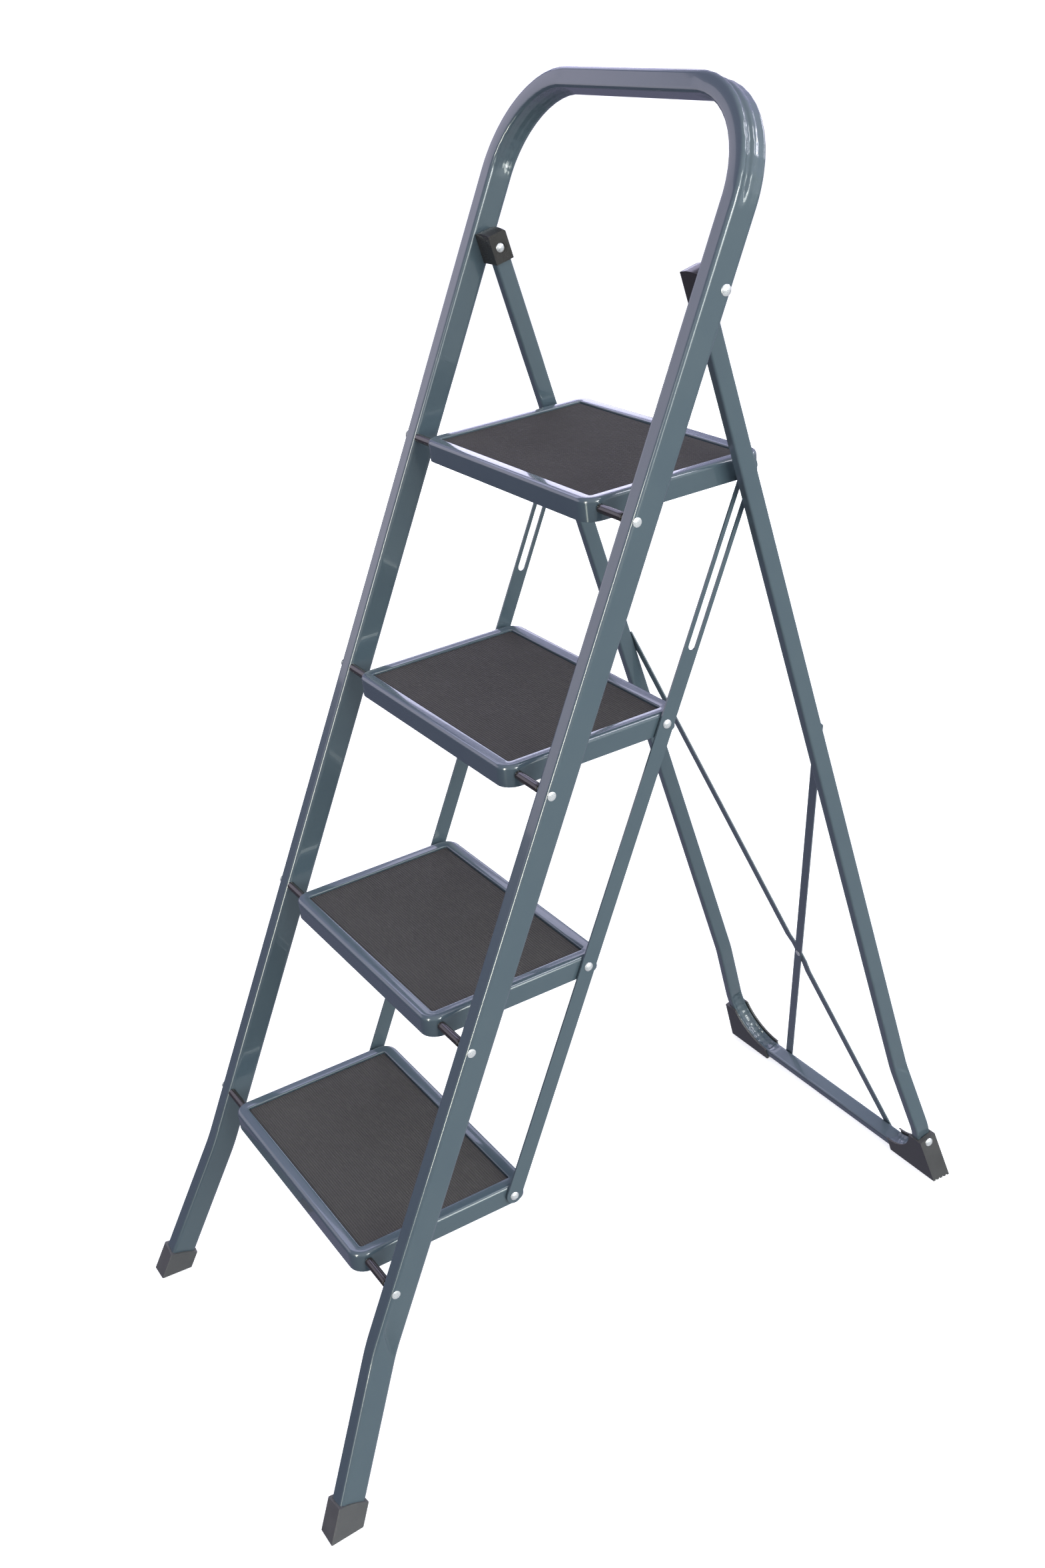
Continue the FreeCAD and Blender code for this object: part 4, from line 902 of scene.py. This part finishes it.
# ------------------------------------------------------------------ plates and mouldings, edges rounded over
for node, body, mt, w in (
        ("link_bar_left", "link_bars", PAINT, 0.35), ("link_bar_right", "link_bars", PAINT, 0.35),
        ("cross_brace_flat", "rear_frame", PAINT, 0.35), ("cross_brace_joggled", "rear_frame", PAINT, 0.35),
        ("hinge_block_left", "rear_frame", HINGE, 0.7), ("hinge_block_right", "rear_frame", HINGE, 0.7),
        ("corner_shoe_left", "rear_frame", SHOE, 0.7), ("corner_shoe_right", "rear_frame", SHOE, 0.7),
        ("foot_cap_left", "front_frame", CAP, 0.4), ("foot_cap_right", "front_frame", CAP, 0.4)):
    soften(node, body, mt, w)

# ------------------------------------------------------------------ floor, light, camera
fm = bpy.data.materials.new("pale_floor")
nt, b = nodes_of(fm)
fn = noise(nt, 1.5, 3.0, 0.5)
fc = ramp(nt, fn.outputs["Fac"], [(0.3, (0.84, 0.84, 0.845, 1)), (0.7, (0.86, 0.86, 0.865, 1))])
nt.links.new(fc.outputs[0], b.inputs["Base Color"])
nt.links.new(fc.outputs[0], b.inputs["Emission Color"])
b.inputs["Emission Strength"].default_value = 0.72
b.inputs["Roughness"].default_value = 0.9
b.inputs["Specular IOR Level"].default_value = 0.0
S = 2000.0
floor = mesh_object("floor", [(-S, -S, 0), (S, -S, 0), (S, S, 0), (-S, S, 0)], [(0, 1, 2, 3)], fm, smooth=False)
floor.location.z = -0.0003
floor.visible_glossy = False
floor.visible_diffuse = False
floor.visible_shadow = False

# a dim studio: darker below and to the left, lighter above and to the right
world = bpy.data.worlds.new("studio")
bpy.context.scene.world = world
world.use_nodes = True
wt = world.node_tree
bg = wt.nodes["Background"]
tc = wt.nodes.new("ShaderNodeTexCoord")
sx = wt.nodes.new("ShaderNodeSeparateXYZ")
wt.links.new(tc.outputs["Generated"], sx.inputs[0])
high = ramp(wt, rng(wt, sx.outputs["Z"], -1.0, 1.0, 0.0, 1.0).outputs[0], [
    (0.0, (0.52, 0.54, 0.60, 1)), (0.34, (0.30, 0.31, 0.36, 1)), (0.47, (0.52, 0.53, 0.58, 1)), (0.56, (0.90, 0.93, 1.0, 1)),
    (0.68, (0.80, 0.80, 1.0, 1)), (1.0, (1.05, 1.08, 1.15, 1))])
sidew = ramp(wt, rng(wt, sx.outputs["X"], -1.0, 1.0, 0.0, 1.0).outputs[0], [
    (0.0, (0.44, 0.42, 0.56, 1)), (0.30, (0.62, 0.59, 0.74, 1)), (0.60, (1.0, 1.0, 1.0, 1)), (1.0, (1.38, 1.46, 1.34, 1))])
fronty = ramp(wt, rng(wt, sx.outputs["Y"], -1.0, 1.0, 0.0, 1.0).outputs[0], [
    (0.0, grey(0.60)), (0.45, grey(0.95)), (1.0, grey(1.15))])
mul = wt.nodes.new("ShaderNodeMix")
mul.data_type = "RGBA"
mul.blend_type = "MULTIPLY"
mul.inputs["Factor"].default_value = 1.0
mul2 = wt.nodes.new("ShaderNodeMix")
mul2.data_type = "RGBA"
mul2.blend_type = "MULTIPLY"
mul2.inputs["Factor"].default_value = 1.0
wt.links.new(high.outputs[0], mul.inputs["A"])
wt.links.new(sidew.outputs[0], mul.inputs["B"])
wt.links.new(mul.outputs["Result"], mul2.inputs["A"])
wt.links.new(fronty.outputs[0], mul2.inputs["B"])
wt.links.new(mul2.outputs["Result"], bg.inputs[0])
bg.inputs[1].default_value = 0.88
# behind the object the studio wall is as pale as the floor
wall = wt.nodes.new("ShaderNodeBackground")
wall.inputs[0].default_value = (1.0, 1.0, 1.0, 1)
wall.inputs[1].default_value = 1.0
path = wt.nodes.new("ShaderNodeLightPath")
pick = wt.nodes.new("ShaderNodeMixShader")
wt.links.new(path.outputs["Is Camera Ray"], pick.inputs[0])
wt.links.new(bg.outputs[0], pick.inputs[1])
wt.links.new(wall.outputs[0], pick.inputs[2])
wt.links.new(pick.outputs[0], wt.nodes["World Output"].inputs["Surface"])


def softbox(name, pos, target, size, watts, colour, gleam=False):
    """A rectangular soft light; a gleam only shows in glossy finishes."""
    li = bpy.data.lights.new(name, "AREA")
    li.shape = "RECTANGLE"
    li.size, li.size_y = size
    li.energy = watts
    li.color = colour
    ob = bpy.data.objects.new(name, li)
    bpy.context.scene.collection.objects.link(ob)
    ob.location = pos
    d = Vector(target) - Vector(pos)
    ob.rotation_euler = d.to_track_quat("-Z", "Y").to_euler()
    if gleam:
        ob.visible_diffuse = False
    return ob


mid = Vector((0, 0, 0.6))
softbox("front_fill", mid + Vector((1.2, -3.4, 1.25)), mid, (1.4, 2.0), 16, (1.0, 0.97, 0.97))
softbox("front_strip", Vector((1.25, -3.45, 1.5)), Vector((0, 0, 1.5)), (0.5, 2.2), 80, (1.0, 1.0, 0.84), True)
softbox("front_strip_low", Vector((1.25, -3.45, -0.25)), Vector((0, 0, -0.25)), (0.5, 1.3), 9, (0.92, 1.0, 0.86), True)
softbox("left_broad", Vector((-0.1, -0.1, 0.95)) + Vector((-2.4, -1.6, 0.75)), Vector((0, 0, 0.95)), (3.2, 1.8), 16, (0.97, 0.90, 1.0))
left_fill = softbox("left_fill", Vector((-3.7, 1.5, 1.4)), Vector((0, 0, 0.6)), (2.0, 2.0), 105, (0.97, 0.98, 1.0))
left_fill.visible_glossy = False
back_fill = softbox("back_fill", Vector((-1.2, 3.9, 1.5)), Vector((0, 0, 0.6)), (2.4, 2.0), 55, (0.97, 0.98, 1.0))
back_fill.visible_glossy = False
softbox("lilac_high", mid + Vector((-2.55, 0.25, 2.1)), mid, (1.5, 0.5), 4.6, (0.74, 0.72, 1.0), True)
softbox("lilac_back", mid + Vector((-2.85, 1.5, 1.05)), mid, (1.0, 0.5), 4.0, (0.78, 0.77, 1.0), True)
softbox("lilac_top", Vector((-2.7, 1.5, 2.6)), mid + Vector((0, 0, 0.5)), (0.9, 0.6), 3.0, (0.80, 0.77, 1.0), True)
softbox("back_strip", Vector((0.6, 3.6, 2.4)), Vector((0.2, 0.3, 1.15)), (2.8, 0.22), 27, (0.90, 0.90, 1.0), True)
softbox("back_high", mid + Vector((1.35, 1.5, 2.5)), mid, (0.5, 1.4), 18, (0.92, 0.91, 1.0), True)
softbox("camera_side", mid + Vector((3.6, 0.45, 1.25)), mid, (2.2, 1.8), 80, (0.95, 1.0, 0.94))
softbox("camera_gleam", Vector((3.4, 0.2, 1.9)), Vector((0.2, 0.3, 1.1)), (0.35, 0.8), 22, (0.96, 0.95, 1.0), True)

cam = bpy.data.cameras.new("camera")
cob = bpy.data.objects.new("camera", cam)
bpy.context.scene.collection.objects.link(cob)
bpy.context.scene.camera = cob
cam.sensor_fit = "VERTICAL"
cam.sensor_height = 36.0
cam.lens = 2708.4 / 2352.0 * 36.0
az, el, roll = math.radians(62.65), math.radians(26.13), math.radians(-7.26)
back = Vector((math.sin(az) * math.cos(el), -math.cos(az) * math.cos(el), math.sin(el)))
right = (-back).cross(Vector((0, 0, 1))).normalized()
up = right.cross(-back)
rr = right * math.cos(roll) + up * math.sin(roll)
uu = -right * math.sin(roll) + up * math.cos(roll)
loc = (A[0] + Vector((1464.5, -446.7, 1158.0))) * MM
m = Matrix((rr, uu, back)).transposed().to_4x4()
m.translation = loc
cob.matrix_world = m
cam.clip_start, cam.clip_end = 0.05, 6000.0

sc = bpy.context.scene
sc.view_settings.view_transform = "Standard"
sc.view_settings.look = "None"
